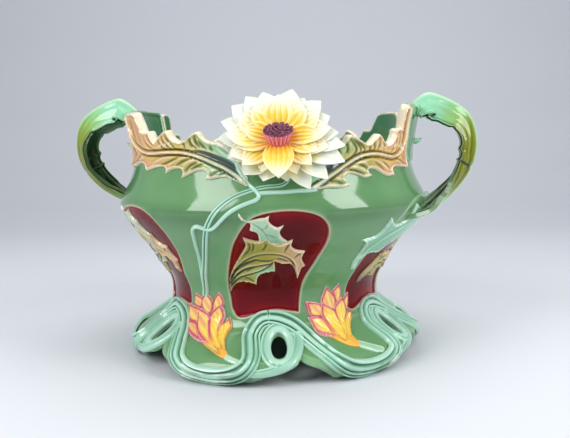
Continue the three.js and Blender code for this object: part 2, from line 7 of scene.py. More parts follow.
# %% Load the solid model
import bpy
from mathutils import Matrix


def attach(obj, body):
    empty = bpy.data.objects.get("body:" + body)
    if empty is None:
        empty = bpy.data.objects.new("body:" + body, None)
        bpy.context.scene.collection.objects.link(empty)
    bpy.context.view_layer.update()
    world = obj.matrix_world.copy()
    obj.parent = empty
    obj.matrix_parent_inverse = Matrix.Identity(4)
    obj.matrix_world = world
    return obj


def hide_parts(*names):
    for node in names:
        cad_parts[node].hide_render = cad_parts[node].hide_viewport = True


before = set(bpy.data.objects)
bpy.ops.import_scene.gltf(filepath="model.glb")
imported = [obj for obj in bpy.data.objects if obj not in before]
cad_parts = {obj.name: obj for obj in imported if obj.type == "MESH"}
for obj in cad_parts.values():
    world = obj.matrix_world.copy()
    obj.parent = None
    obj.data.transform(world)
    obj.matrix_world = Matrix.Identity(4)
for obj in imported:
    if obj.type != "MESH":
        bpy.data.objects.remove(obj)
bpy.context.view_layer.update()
print("solid model", len(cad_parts), "nodes")

# %% Libraries and units
import math

import bpy
import numpy as np
from mathutils import Matrix, Vector
from mathutils.geometry import delaunay_2d_cdt

MM = 0.001               # every size below is in millimetres; meshes are in metres
WINDOWS = 6              # windows, pillars, foot lobes and curls round the body
HALF_TURN = 180          # the front's relief is repeated on the back
rng = np.random.default_rng(7)

# %% [markdown]
# ## The camera
# The eye is just above the rim, a little to the right of the front, and looks slightly down.

# %% Camera
EYE_AZIMUTH = 4.0        # degrees round from the front, towards the right handle
EYE_DISTANCE = 693
EYE_HEIGHT = 208.4
AIM_DOWN = 6.675         # degrees
AIM_RIGHT = 0.934
EYE_ROLL = -1.0
FOCAL_LENGTH = 42.63     # on a sensor 36 wide


def add_camera():
    camera = bpy.data.objects.new("camera", bpy.data.cameras.new("camera"))
    azimuth = math.radians(EYE_AZIMUTH)
    heading = azimuth - math.radians(AIM_RIGHT)
    eye = Vector((math.sin(azimuth), -math.cos(azimuth), 0)) * EYE_DISTANCE
    eye.z = EYE_HEIGHT
    turn = Matrix.Rotation(heading, 4, "Z") @ Matrix.Rotation(math.radians(90 - AIM_DOWN), 4, "X")
    roll = Matrix.Rotation(math.radians(EYE_ROLL), 4, "Z")
    camera.matrix_world = Matrix.Translation(eye * MM) @ turn @ roll
    camera.data.lens = FOCAL_LENGTH
    camera.data.sensor_width = 36
    camera.data.clip_start = 0.05
    bpy.context.scene.collection.objects.link(camera)
    bpy.context.scene.camera = camera
    return camera


print("camera at", [round(v, 3) for v in add_camera().location])

# %% [markdown]
# ## The wall
# Nearly everything follows one outline, the wall's, from the ground up past the rim. A place on it is
# written [degrees round from the front, height]. Unrolled, with degrees as millimetres, it is a flat
# drawing on which leaves and windows are drawn, and which is then laid round the wall.

# %% Outline of the wall and the flat drawing
WALL = np.array([        # height, radius of the outer face
    (0, 135), (4, 140.5), (12, 144), (19, 141.5), (27, 130), (36, 117), (46, 108), (61, 105),
    (74, 107), (89, 115), (107, 126), (128, 142.5), (142, 151.5), (150, 153.5), (157, 151),
    (168, 145), (190, 138), (212, 139), (230, 142), (245, 147),
], float)
WALL_SLOPES = np.gradient(WALL[:, 1], WALL[:, 0])
WAIST_JOINT = 46
RIM_HEIGHT = 190
MM_PER_DEGREE = (105 + 153.5) / 2 * math.pi / 180


def wall_radius(height):
    """A smooth curve through the rows of WALL."""
    h = np.clip(np.asarray(height, float), WALL[0, 0], WALL[-1, 0])
    i = np.clip(np.searchsorted(WALL[:, 0], h, side="right") - 1, 0, len(WALL) - 2)
    step = WALL[i + 1, 0] - WALL[i, 0]
    t = (h - WALL[i, 0]) / step
    start, end = WALL[i, 1], WALL[i + 1, 1]
    leave, arrive = WALL_SLOPES[i] * step, WALL_SLOPES[i + 1] * step
    blend = t * t * (3 - 2 * t)
    return start + (end - start) * blend + leave * t * (1 - t) ** 2 - arrive * t * t * (1 - t)


def wall_out(degrees, height):
    """The direction straight out of the wall."""
    slope = (wall_radius(height + 1) - wall_radius(height - 1)) / 2
    angle = np.radians(degrees)
    out = np.stack([np.sin(angle), -np.cos(angle), -slope], -1)
    return out / np.linalg.norm(out, axis=-1, keepdims=True)


def on_wall(flat, lift):
    """Lays points of the flat drawing round the wall, each lifted off it by so much."""
    flat = np.asarray(flat, float)
    degrees, height = flat[..., 0] / MM_PER_DEGREE, flat[..., 1]
    angle, radius = np.radians(degrees), wall_radius(height)
    foot = np.stack([radius * np.sin(angle), -radius * np.cos(angle), height], -1)
    return foot + wall_out(degrees, height) * np.asarray(lift)[..., None]


def drawn(places):
    """Places on the wall as points of the flat drawing; a third number, 1, marks a sharp tip."""
    return [(p[0] * MM_PER_DEGREE, *p[1:]) for p in places]


print("shoulder radius", round(float(wall_radius(150)), 1), "waist", round(float(wall_radius(61)), 1))

# %% [markdown]
# ## Drawing and filling outlines
# A drawn outline has few points. Cutting its corners again and again rounds it, and the tips that
# are marked stay sharp. The inside is then filled with an even net of triangles, so that relief can be
# pressed into it anywhere, and the net ends exactly on the outline.

# %% Outlines
def rounded(points, closed=True, rounds=3, spacing=1.2):
    """Cuts the corners of an outline, keeps its marked tips, and spaces its points evenly."""
    rows = [(p[0], p[1], len(p) > 2) for p in points]
    for _ in range(rounds):
        cut, count = [], len(rows)
        for i, (x, y, sharp) in enumerate(rows):
            at_end = not closed and i in (0, count - 1)
            if sharp or at_end:
                cut.append((x, y, sharp))
                continue
            for x1, y1, _ in (rows[i - 1], rows[(i + 1) % count]):
                cut.append((x + (x1 - x) / 4, y + (y1 - y) / 4, False))
        rows = cut
    path = np.array([row[:2] for row in rows])
    return spaced(path, spacing, closed)


def spaced(path, spacing, closed=False):
    """Adds points along the long stretches of a path and drops points that nearly coincide."""
    ends = np.roll(path, -1, 0) if closed else path[1:]
    out = []
    for start, end in zip(path, ends):
        steps = max(1, int(round(np.linalg.norm(end - start) / spacing)))
        out += [start + (end - start) * k / steps for k in range(steps)]
    if not closed:
        out.append(path[-1])
    kept = [out[0]]
    for point in out[1:]:
        if np.linalg.norm(point - kept[-1]) > 0.3 * spacing:
            kept.append(point)
    if closed and np.linalg.norm(kept[0] - kept[-1]) < 0.3 * spacing:
        kept.pop()
    return np.array(kept)


def inside(points, outline):
    """Which points lie inside a closed outline."""
    x, y = points[:, :1], points[:, 1:]
    x0, y0 = outline.T
    x1, y1 = np.roll(outline, -1, 0).T
    rise = np.where(y1 == y0, 1e-12, y1 - y0)
    crosses = ((y0 > y) != (y1 > y)) & (x < (x1 - x0) * (y - y0) / rise + x0)
    return crosses.sum(1) % 2 == 1


def nearest(points, path, closed=False):
    """Distance to a path, share of the way along it, and which side (+ is left of the path)."""
    start = path if closed else path[:-1]
    end = np.roll(path, -1, 0) if closed else path[1:]
    along = end - start
    lengths = np.linalg.norm(along, axis=1)
    to = points[:, None] - start
    t = np.clip((to * along).sum(-1) / np.maximum(lengths ** 2, 1e-12), 0, 1)
    miss = to - along * t[..., None]
    gap = np.linalg.norm(miss, axis=-1)
    i = gap.argmin(1)
    row = np.arange(len(points))
    travelled = np.concatenate([[0], np.cumsum(lengths)])
    share = (travelled[i] + t[row, i] * lengths[i]) / travelled[-1]
    side = np.sign(along[i, 0] * miss[row, i, 1] - along[i, 1] * miss[row, i, 0])
    return gap[row, i], share, side


# %% Filling an outline with triangles
def filled(outline, spacing, rings=(), holes=()):
    """Points and triangles that fill an outline; rings are lines that the triangles follow."""
    loops = [outline, *rings, *holes]
    points, edges = [], []
    for loop in loops:
        first = len(points)
        points += list(loop)
        edges += [(first + i, first + (i + 1) % len(loop)) for i in range(len(loop))]
    low, high = outline.min(0), outline.max(0)
    rows = np.arange(low[1], high[1], spacing * 0.87)
    net = []
    for k, y in enumerate(rows):
        across = np.arange(low[0] + (k % 2) * spacing / 2, high[0], spacing)
        net.append(np.stack([across, np.full(len(across), y)], -1))
    net = np.concatenate(net)
    net = net[inside(net, outline)]
    for loop in loops:
        net = net[nearest(net, loop, closed=True)[0] > 0.55 * spacing]
    for hole in holes:
        net = net[~inside(net, hole)]
    points = np.concatenate([np.array(points), net])
    flat, _, faces, *_ = delaunay_2d_cdt([Vector(p) for p in points], edges, [], 0, 1e-5)
    flat, faces = np.array([tuple(p) for p in flat]), np.array(faces)
    middle = flat[faces].mean(1)
    keep = inside(middle, outline)
    for hole in holes:
        keep &= ~inside(middle, hole)
    faces = faces[keep]
    a, b, c = flat[faces[:, 0]], flat[faces[:, 1]], flat[faces[:, 2]]
    turned = (b - a)[:, 0] * (c - a)[:, 1] - (b - a)[:, 1] * (c - a)[:, 0] < 0
    faces[turned] = faces[turned][:, ::-1]
    return flat, faces


def closed_sheet(faces, count):
    """Triangles for a closed body: the sheet, its underside and the wall round every border."""
    half = np.concatenate([faces[:, [0, 1]], faces[:, [1, 2]], faces[:, [2, 0]]])
    there = {tuple(edge) for edge in half.tolist()}
    border = [edge for edge in there if edge[::-1] not in there]
    walls = [(a, a + count, b + count, b) for a, b in border]
    return faces.tolist() + (faces[:, ::-1] + count).tolist() + walls


def plate(flat, faces, outer, inner, tint, inside_tint=None):
    """A closed plate on the wall, between the lifts of its outer and its inner face."""
    points = np.concatenate([on_wall(flat, outer), on_wall(flat, np.broadcast_to(inner, len(flat)))])
    tints = np.concatenate([tint, tint if inside_tint is None else inside_tint])
    return points, closed_sheet(faces, len(flat)), tints


# %% [markdown]
# ## Pools and ridges
# A lead glaze runs off the ridges and gathers in the hollows, where it looks deep and dark. So each
# mesh carries a number at every point that says how hollow it is there, and the glaze materials read it.

# %% From points and faces to a piece
def pooling(points, faces, normals, reach=3):
    """How hollow (+) or ridged (-) a surface is at each point, evened out over a few neighbours."""
    pairs = np.concatenate([np.stack([np.array(f), np.roll(f, -1)], -1) for f in faces])
    a, b = np.concatenate([pairs, pairs[:, ::-1]]).T
    share = np.bincount(a, minlength=len(points)).clip(1)
    mean = np.stack([np.bincount(a, points[b, k], len(points)) for k in range(3)], -1) / share[:, None]
    span = np.bincount(a, ((points[b] - points[a]) ** 2).sum(1), len(points)) / share
    bend = ((mean - points) * normals).sum(1) / span.clip(0.05)
    for _ in range(reach):
        bend = (bend + np.bincount(a, bend[b], len(points)) / share) / 2
    return np.clip(bend * 6, -1, 1)


def turned(points, degrees):
    angle = math.radians(degrees)
    across, up = math.cos(angle), math.sin(angle)
    return points @ np.array([[across, up, 0], [-up, across, 0], [0, 0, 1]])


def piece(name, points, faces, material, nodes, tint=None, turn=0, crease=55, marks=None):
    """Makes one finished piece: its mesh, pooling, colours, material and its place in the model."""
    mesh = bpy.data.meshes.new(name)
    placed = turned(np.asarray(points, float), turn)
    mesh.from_pydata((placed * MM).tolist(), [], [list(map(int, f)) for f in faces])
    mesh.update()
    normals = np.array([n.vector[:] for n in mesh.vertex_normals])
    dressed(mesh, {"pool": pooling(placed, faces, normals), **(marks or {})}, tint)
    mesh.polygons.foreach_set("use_smooth", np.ones(len(mesh.polygons), bool))
    mesh.set_sharp_from_angle(angle=math.radians(crease))
    mesh.materials.append(material)
    return placed_piece(bpy.data.objects.new(name, mesh), nodes)


def dressed(mesh, marks, tint):
    for key, values in marks.items():
        attribute = mesh.attributes.new(key, "FLOAT", "POINT")
        attribute.data.foreach_set("value", np.asarray(values, np.float32))
    if tint is not None:
        attribute = mesh.attributes.new("tint", "FLOAT_COLOR", "POINT")
        rgba = np.concatenate([linear(tint), np.ones((len(tint), 1))], 1)
        attribute.data.foreach_set("color", rgba.astype(np.float32).ravel())


def placed_piece(obj, nodes):
    if obj.name not in bpy.context.scene.collection.objects:
        bpy.context.scene.collection.objects.link(obj)
    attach(obj, "root")
    if nodes:
        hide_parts(*nodes)
    return obj


def linear(colour):
    """Colours as a person writes them, 0 to 255, as the linear light that materials use."""
    value = np.clip(np.asarray(colour, float) / 255, 0, 1)
    return np.where(value <= 0.04045, value / 12.92, ((value + 0.055) / 1.055) ** 2.4)


def twice(name, node, ends, body, material, slot, crease=60):
    """One piece at two places half a turn apart; {} in its names stands for the end."""
    points, faces, tint = body
    for k, end in enumerate(ends):
        piece(name.format(end), points, faces, material, [node.format(end)], tint=tint,
              turn=HALF_TURN * k, crease=crease)
    return len(faces)


FRONT_BACK = ("front", "back")
RIGHT_LEFT = ("right", "left")
print("tools for outlines, nets and pieces are ready")

# %% [markdown]
# ## Glazes
# Every glaze is one recipe: a clear glossy skin over a colour that grows deep where the glaze pools,
# thins to a pale tone on the ridges, and drifts a little over the piece as runny glazes do.

# %% Glaze recipe
def glaze(name, body, ridge, deep, tinted=False, drift=0.16, depth=1.0, roughness=0.09,
          gloss=(0.5, 0.45), thin=0.75, hem=0.0):
    """body, ridge and deep are the colour on the flat, on ridges and in hollows; gloss is (surface, coat).
    thin is how far the ridges pale, and hem how far the colour darkens towards the bottom, near the ground."""
    material = bpy.data.materials.new(name)
    material.use_nodes = True
    nodes, links = material.node_tree.nodes, material.node_tree.links
    shader = nodes["Principled BSDF"]
    shader.inputs["Specular IOR Level"].default_value = gloss[0]
    shader.inputs["Coat Weight"].default_value = gloss[1]
    shader.inputs["Coat Roughness"].default_value = 0.03
    shader.inputs["IOR"].default_value = 1.52
    place = nodes.new("ShaderNodeTexCoord").outputs["Object"]

    def noise(scale, detail):
        node = nodes.new("ShaderNodeTexNoise")
        node.inputs["Scale"].default_value = scale
        node.inputs["Detail"].default_value = detail
        links.new(place, node.inputs["Vector"])
        return node.outputs["Fac"]

    def remap(value, low, high, to_low, to_high):
        node = nodes.new("ShaderNodeMapRange")
        for key, number in zip(("From Min", "From Max", "To Min", "To Max"), (low, high, to_low, to_high)):
            node.inputs[key].default_value = number
        links.new(value, node.inputs["Value"])
        return node.outputs["Result"]

    def mixed(factor, first, second):
        node = nodes.new("ShaderNodeMix")
        node.data_type = "RGBA"
        links.new(factor, node.inputs[0])
        for socket, value in ((6, first), (7, second)):
            if hasattr(value, "is_linked"):
                links.new(value, node.inputs[socket])
            else:
                node.inputs[socket].default_value = (*linear(value), 1)
        return node.outputs[2]

    def attribute(key, output):
        node = nodes.new("ShaderNodeAttribute")
        node.attribute_name = key
        return node.outputs[output]

    pool = attribute("pool", "Fac")
    colour = attribute("tint", "Color") if tinted else body
    wander = remap(noise(24, 3), 0.35, 0.65, 0, drift)
    colour = mixed(wander, colour, deep)
    light = remap(pool, -0.06, -0.55, 0, thin)
    colour = mixed(light, colour, ridge)
    dark = remap(pool, 0.05, 0.55, 0, 0.85 * depth)
    colour = mixed(dark, colour, deep)
    # Darker towards the bottom: within 20 mm of the ground the colour turns, in uneven patches, towards the
    # deep one.
    if hem:
        parts = nodes.new("ShaderNodeSeparateXYZ")
        links.new(place, parts.inputs["Vector"])
        low_darkening = nodes.new("ShaderNodeMath")
        low_darkening.operation = "MULTIPLY"
        links.new(remap(parts.outputs["Z"], 0.02, 0.003, 0, hem), low_darkening.inputs[0])
        links.new(remap(noise(38, 3), 0.4, 0.56, 0.2, 1), low_darkening.inputs[1])
        colour = mixed(low_darkening.outputs[0], colour, deep)
    links.new(colour, shader.inputs["Base Color"])
    links.new(remap(noise(60, 2), 0.3, 0.7, roughness * 0.6, roughness * 1.6), shader.inputs["Roughness"])
    bump = nodes.new("ShaderNodeBump")
    bump.inputs["Strength"].default_value = 0.12
    bump.inputs["Distance"].default_value = 0.0008
    links.new(noise(95, 2), bump.inputs["Height"])
    links.new(bump.outputs["Normal"], shader.inputs["Normal"])
    return material


MINT_GLAZE = glaze("mint_glaze", (144, 204, 172), (200, 238, 220), (40, 92, 50), hem=0.8)
print("glazes:", [m.name for m in bpy.data.materials])

# %% [markdown]
# ## Bowl
# A sixth of the bowl is drawn flat, with its window, and laid round the wall six times. Lines that step
# down inside the window's outline give the recess a rounded edge. The inside and the floor are a plain
# turned surface that meets the outside at the rim.

# %% One window's outline
WINDOW = drawn([
    (-5.2, 141), (-3.0, 146.5), (1.0, 150.5), (7, 152.5), (13.5, 151.5), (18.5, 147), (21.6, 139), (23, 128),
    (22.6, 117), (20.2, 101), (16.8, 87), (16, 71), (15.4, 55, 1), (10.9, 56.2), (2.6, 58.8), (-5.9, 54),
    (-12.6, 49.6), (-16.6, 52), (-18.6, 61), (-18.9, 79), (-16.3, 96), (-11.7, 119), (-7.4, 134),
])
WINDOW_OUTLINE = rounded(WINDOW, spacing=1.3)
RECESS = 3.4             # depth of the window fields
BOWL_WALL = 8
FLOOR_TOP = 55


def unit(rows):
    return rows / np.linalg.norm(rows, axis=1)[:, None].clip(1e-9)


def stepped_in(outline, margin):
    """The outline moved inwards by a margin."""
    along = unit(unit(outline - np.roll(outline, 1, 0)) + unit(np.roll(outline, -1, 0) - outline))
    area = (outline[:, 0] * np.roll(outline[:, 1], -1) - np.roll(outline[:, 0], -1) * outline[:, 1]).sum()
    inward = np.stack([-along[:, 1], along[:, 0]], -1) * np.sign(area)
    return outline + inward * margin


print("window outline points", len(WINDOW_OUTLINE))

# %% A sixth of the bowl, drawn flat
SECTOR = (-28, 32)       # degrees that one sixth covers
COLUMNS = 48             # points along its top and bottom
SHEET_SPACING = 3.4
LINE_RINGS = (-2.6, -0.9, 0, 0.6, 1.3, 2.3)   # margins of the lines that follow the window's edge
PINK_LINE = (236, 178, 160)
RED_BODY = (92, 2, 16)
GREEN_BODY = (106, 154, 102)
INSIDE_GREEN = (48, 104, 66)


def border_box(low, high):
    """The straight border of a sector, with the same points on its left and right."""
    across = np.linspace(SECTOR[0], SECTOR[1], COLUMNS + 1) * MM_PER_DEGREE
    up = np.linspace(low, high, int((high - low) / SHEET_SPACING) + 1)
    return np.array([*((x, low) for x in across[:-1]), *((across[-1], y) for y in up[:-1]),
                     *((x, high) for x in across[:0:-1]), *((across[0], y) for y in up[:0:-1])])


def by_distance(distance, stops):
    """Colours that change with a distance; stops are (distance, colour)."""
    at = [stop[0] for stop in stops]
    return np.stack([np.interp(distance, at, [stop[1][k] for stop in stops]) for k in range(3)], -1)


def bowl_sector():
    rings = [stepped_in(WINDOW_OUTLINE, margin) for margin in LINE_RINGS]
    flat, faces = filled(border_box(WAIST_JOINT, RIM_HEIGHT), SHEET_SPACING, rings=rings)
    gap = nearest(flat, WINDOW_OUTLINE, closed=True)[0]
    signed = np.where(inside(flat, WINDOW_OUTLINE), gap, -gap)
    lip = 0.45 * np.exp(-(signed + 0.4) ** 2)
    step = np.clip(signed / 2.3, 0, 1)
    lift = lip - RECESS * step ** 1.4
    tint = by_distance(signed, [(-0.95, GREEN_BODY), (-0.5, PINK_LINE), (0.2, PINK_LINE),
                                (0.8, (150, 30, 40)), (1.4, (40, 0, 10)), (2.4, RED_BODY)])
    return on_wall(flat, lift), faces, tint


def revolved(rows, columns):
    """A surface turned from rows of (height, radius); a radius of 0 closes it in a point."""
    angles = np.linspace(0, 2 * math.pi, columns, endpoint=False)
    angles += math.radians(SECTOR[0])
    points, faces, starts = [], [], []
    for height, radius in rows:
        starts.append(len(points))
        ring = angles if radius else angles[:1]
        points += [(radius * math.sin(a), -radius * math.cos(a), height) for a in ring]
    for k in range(len(rows) - 1):
        wide, tight = starts[k], starts[k + 1]
        for i in range(columns):
            j = (i + 1) % columns
            if rows[k + 1][1]:
                faces.append((wide + i, wide + j, tight + j, tight + i))
            else:
                faces.append((wide + i, wide + j, tight))
    return np.array(points), faces


def joined(parts):
    """Several (points, faces, tint) as one."""
    points, faces, tints, count = [], [], [], 0
    for part_points, part_faces, part_tint in parts:
        points.append(part_points)
        faces += [tuple(int(i) + count for i in face) for face in part_faces]
        tints.append(part_tint)
        count += len(part_points)
    return np.concatenate(points), faces, np.concatenate(tints)


def welded(points, faces, tint, within=0.02):
    """Merges points that lie together."""
    keys = np.round(points / within).astype(int)
    _, first, place = np.unique(keys, axis=0, return_index=True, return_inverse=True)
    place = place.ravel()
    kept = []
    for face in faces:
        corners = [int(place[i]) for i in face]
        corners = [c for k, c in enumerate(corners) if c != corners[k - 1]]
        if len(set(corners)) > 2:
            kept.append(corners)
    return points[first], kept, tint[first]


def flat_tint(points, colour):
    return np.tile(np.array(colour, float), (len(points), 1))


# %% The whole bowl
def blended(first, second, weight):
    """Two colours mixed point by point."""
    weight = np.clip(weight, 0, 1)[:, None]
    return first * (1 - weight) + np.asarray(second, float) * weight


def bump(value, at, width):
    """A smooth hump of height 1."""
    return np.exp(-((value - at) / width) ** 2)


CORNER_LINE = [
    (40, 108), (43.3, 113), (47, 118.5), (51, 124), (56, 128), (62, 132), (70, 137), (78, 142), (90, 146)]
CORNER_GROWN = 3.4       # how far the filling reaches past the window's outline
# Painted shade: below the shoulder the wall faces down and shows a darker reflection of the floor, so a band
# of its green is painted darker.
SHOULDER_SHADE = (66, 106, 64)
SHOULDER_SHADE_AT = (146, 9)     # height of the darker green below the shoulder, and its reach


def shoulder_shade(points):
    return 0.6 * bump(points[:, 2], *SHOULDER_SHADE_AT)


def filled_corner():
    """Wall that fills the corner of a window above the line where a handle's tail crosses it."""
    outline = stepped_in(WINDOW_OUTLINE + np.array([360 / WINDOWS * MM_PER_DEGREE, 0]), -CORNER_GROWN)
    flat, faces = filled(outline, 1.6)
    line = np.array(drawn(CORNER_LINE))
    low = np.interp(flat[:, 0], line[:, 0], line[:, 1])
    flat[:, 1] = np.maximum(flat[:, 1], low)
    faces = np.array([face for face in faces if (flat[face, 1] > low[face] + 1e-6).any()])
    used = np.unique(faces)
    order = np.full(len(flat), -1)
    order[used] = np.arange(len(used))
    flat, faces = flat[used], order[faces]
    gap = nearest(flat, outline, closed=True)[0]
    lift = 0.1 + 0.3 * np.clip(gap / 1.2, 0, 1)
    points, faces, tint = plate(flat, faces, lift, -RECESS, flat_tint(flat, GREEN_BODY))
    # Painted shade below the shoulder, as on the bowl.
    return points, faces, blended(tint, SHOULDER_SHADE, shoulder_shade(points))


def make_bowl():
    sector = bowl_sector()
    parts = [(turned(sector[0], 360 / WINDOWS * k), sector[1], sector[2]) for k in range(WINDOWS)]
    heights = np.linspace(RIM_HEIGHT - 1.5, FLOOR_TOP + 6, 26)
    inner = [(h, float(wall_radius(h)) - BOWL_WALL) for h in heights]
    low = inner[-1][1]
    cup = [(RIM_HEIGHT, float(wall_radius(RIM_HEIGHT))), (RIM_HEIGHT, inner[0][1] + 2), *inner,
           (FLOOR_TOP + 1.8, low - 2.5), (FLOOR_TOP, low - 8), (FLOOR_TOP, 50), (FLOOR_TOP, 0)]
    under = [(WAIST_JOINT, float(wall_radius(WAIST_JOINT))), (WAIST_JOINT, 60), (WAIST_JOINT, 0)]
    for rows, order in ((cup, 1), (under, -1)):
        points, faces = revolved(rows, COLUMNS * WINDOWS)
        parts.append((points, [face[::order] for face in faces], flat_tint(points, INSIDE_GREEN)))
    points, faces, tint = welded(*joined(parts))
    outside = np.hypot(points[:, 0], points[:, 1]) > [wall_radius(h) - 1 for h in points[:, 2]]
    green = tint[:, 1] > tint[:, 0] + 20
    # Painted shade below the shoulder, on the outer green only.
    tint = blended(tint, SHOULDER_SHADE, shoulder_shade(points) * outside * green)
    patch, patch_faces, patch_tint = filled_corner()
    patches = [(turned(patch, HALF_TURN * k), patch_faces, patch_tint) for k in range(2)]
    points, faces, tint = joined([(points, faces, tint), *patches])
    return piece("glazed_bowl", points, faces, GREEN_TINTED, ["bowl"], tint=tint, crease=75)


GREEN_TINTED = glaze("green_glaze_panelled", GREEN_BODY, (150, 196, 150), (52, 104, 58), tinted=True,
                     depth=0.6, gloss=(0.4, 0.35), hem=0.6)
bowl = make_bowl()
print("bowl", len(bowl.data.polygons), "faces")

# %% [markdown]
# ## Pools of red glaze
# Each window holds a pool of dark red glaze. It creeps up a little where it meets the edge. Its colour
# is near black at the edge, bright red a little way in, and dark red over the middle.

# %% Pools of red glaze
def make_red_pools():
    outline = stepped_in(WINDOW_OUTLINE, 0.9)
    rings = [stepped_in(outline, margin) for margin in (0.9, 2.2, 4.0)]
    flat, faces = filled(outline, 3.2, rings=rings)
    gap = nearest(flat, outline, closed=True)[0]
    top = -RECESS + 1.5 + 0.7 * np.exp(-gap / 1.1)
    tint = by_distance(gap, [(0, (40, 0, 10)), (0.9, (70, 2, 14)), (2.2, (150, 8, 26)), (4.5, (122, 2, 16)),
                             (9, (112, 0, 12)), (20, (100, 0, 12))])
    points, faces, tint = plate(flat, faces, top, -RECESS - 0.3, tint)
    for k in range(WINDOWS):
        piece(f"red_pool_{k + 1}", points, faces, RED_POOL, [f"window_glaze_{k + 1}"],
              tint=tint, turn=360 / WINDOWS * k)
    return len(flat)


RED_POOL = glaze("red_pool_glaze", RED_BODY, (150, 8, 26), (60, 0, 8), tinted=True, drift=0.4, depth=0.2,
                 roughness=0.06, gloss=(0.12, 0.12))
print("red pools with", make_red_pools(), "points each")

# %% [markdown]
# ## Foot
# The skirt is drawn flat like the bowl: one lobe with the notch beside it and the round hole of the
# curl. Its edges are rounded over, and six copies meet all round.

# %% Foot outline
FOOT_WALL = 7
NOTCH = [
    (-5, 0), (-2.8, 2.6), (0.5, 8), (5, 11.8), (9.5, 16.5), (12.7, 23.4, 1), (16.5, 18), (20.5, 11.5),
    (23.4, 3.6), (24.9, 0)]
HOLE = {"degrees": 5, "height": 31.5, "across": 7.4, "up": 7.0}
FOOT_EDGE_ROUNDING = 3.5
LOBE_SIDE = 180 / WINDOWS * MM_PER_DEGREE     # from the middle of a lobe to its side, on the flat drawing


def foot_outline(notch):
    """The border of a sixth of the skirt: level above and at the sides, notched below."""
    left, right = -LOBE_SIDE, LOBE_SIDE
    up = np.linspace(0, WAIST_JOINT, 15)
    across = np.linspace(left, right, 41)
    low = [(x, 0) for x in across if x < notch[0, 0] - 0.8]
    high = [(x, 0) for x in across if x > notch[-1, 0] + 0.8]
    return np.array([*low, *notch, *high[:-1], *((right, y) for y in up[:-1]),
                     *((x, WAIST_JOINT) for x in across[:0:-1]), *((left, y) for y in up[:0:-1])])


def make_foot():
    notch = rounded(drawn(NOTCH), closed=False, spacing=1.5)
    angle = np.linspace(0, 2 * math.pi, 40, endpoint=False)
    hole = np.stack([HOLE["degrees"] * MM_PER_DEGREE + HOLE["across"] * np.cos(angle),
                     HOLE["height"] + HOLE["up"] * np.sin(angle)], -1)
    border = np.array([(-LOBE_SIDE, 0), *notch, (LOBE_SIDE, 0)])
    flat, faces = filled(foot_outline(notch), 2.6, holes=[hole])
    free = np.minimum(nearest(flat, border)[0], nearest(flat, hole, closed=True)[0])
    over = 1 - np.sin(np.clip(free / FOOT_EDGE_ROUNDING, 0, 1) * math.pi / 2)
    outer = on_wall(flat, -2.6 * over)
    inner = on_wall(flat, -FOOT_WALL + 2.4 * over)
    inner[:, 2] = np.clip(inner[:, 2], 0, WAIST_JOINT)
    outer[:, 2] = np.clip(outer[:, 2], 0, WAIST_JOINT)
    at_side = np.abs(np.abs(flat[:, 0]) - LOBE_SIDE) < 1e-3
    faces = [f for f in closed_sheet(faces, len(flat))
             if not (len(f) == 4 and at_side[f[0] % len(flat)] and at_side[f[2] % len(flat)])]
    tint = np.concatenate([flat_tint(outer, GREEN_BODY), flat_tint(inner, INSIDE_GREEN)])
    lobe = np.concatenate([outer, inner])
    lobes = [(turned(lobe, 360 / WINDOWS * k), faces, tint) for k in range(WINDOWS)]
    points, faces, tint = welded(*joined(lobes))
    return piece("lobed_foot", points, faces, GREEN_TINTED, ["foot_skirt"], tint=tint)


print("foot", len(make_foot().data.polygons), "faces")

# %% [markdown]
# ## Bands swept along a path
# The ribbon of the foot, the strands of the curls and the lily's stems keep one section all the way.
# A small node tree sweeps that section along a path, and turns it so that it always stands out of the
# wall. The path carries two numbers at every point: the way out of the wall, and how wide the band is.

# %% The node tree of a swept band
def new_tree(name, inputs):
    tree = bpy.data.node_groups.new(name, "GeometryNodeTree")
    tree.interface.new_socket("Geometry", in_out="INPUT", socket_type="NodeSocketGeometry")
    tree.interface.new_socket("Geometry", in_out="OUTPUT", socket_type="NodeSocketGeometry")
    for label, kind in inputs:
        tree.interface.new_socket(label, in_out="INPUT", socket_type=kind)
    return tree, tree.nodes.new("NodeGroupInput")


def carried(tree, key, kind):
    """A number that every point carries, as a tree reads it."""
    node = tree.nodes.new("GeometryNodeInputNamedAttribute")
    node.data_type = kind
    node.inputs["Name"].default_value = key
    return node.outputs["Attribute"]


def glazed(tree, source, geometry):
    """Ends a tree: copies become real, and everything takes the glaze that the tree is given."""
    real, paint = tree.nodes.new("GeometryNodeRealizeInstances"), tree.nodes.new("GeometryNodeSetMaterial")
    tree.links.new(geometry, real.inputs["Geometry"])
    tree.links.new(real.outputs["Geometry"], paint.inputs["Geometry"])
    tree.links.new(source.outputs["Glaze"], paint.inputs["Material"])
    tree.links.new(paint.outputs["Geometry"], tree.nodes.new("NodeGroupOutput").inputs["Geometry"])
    return tree


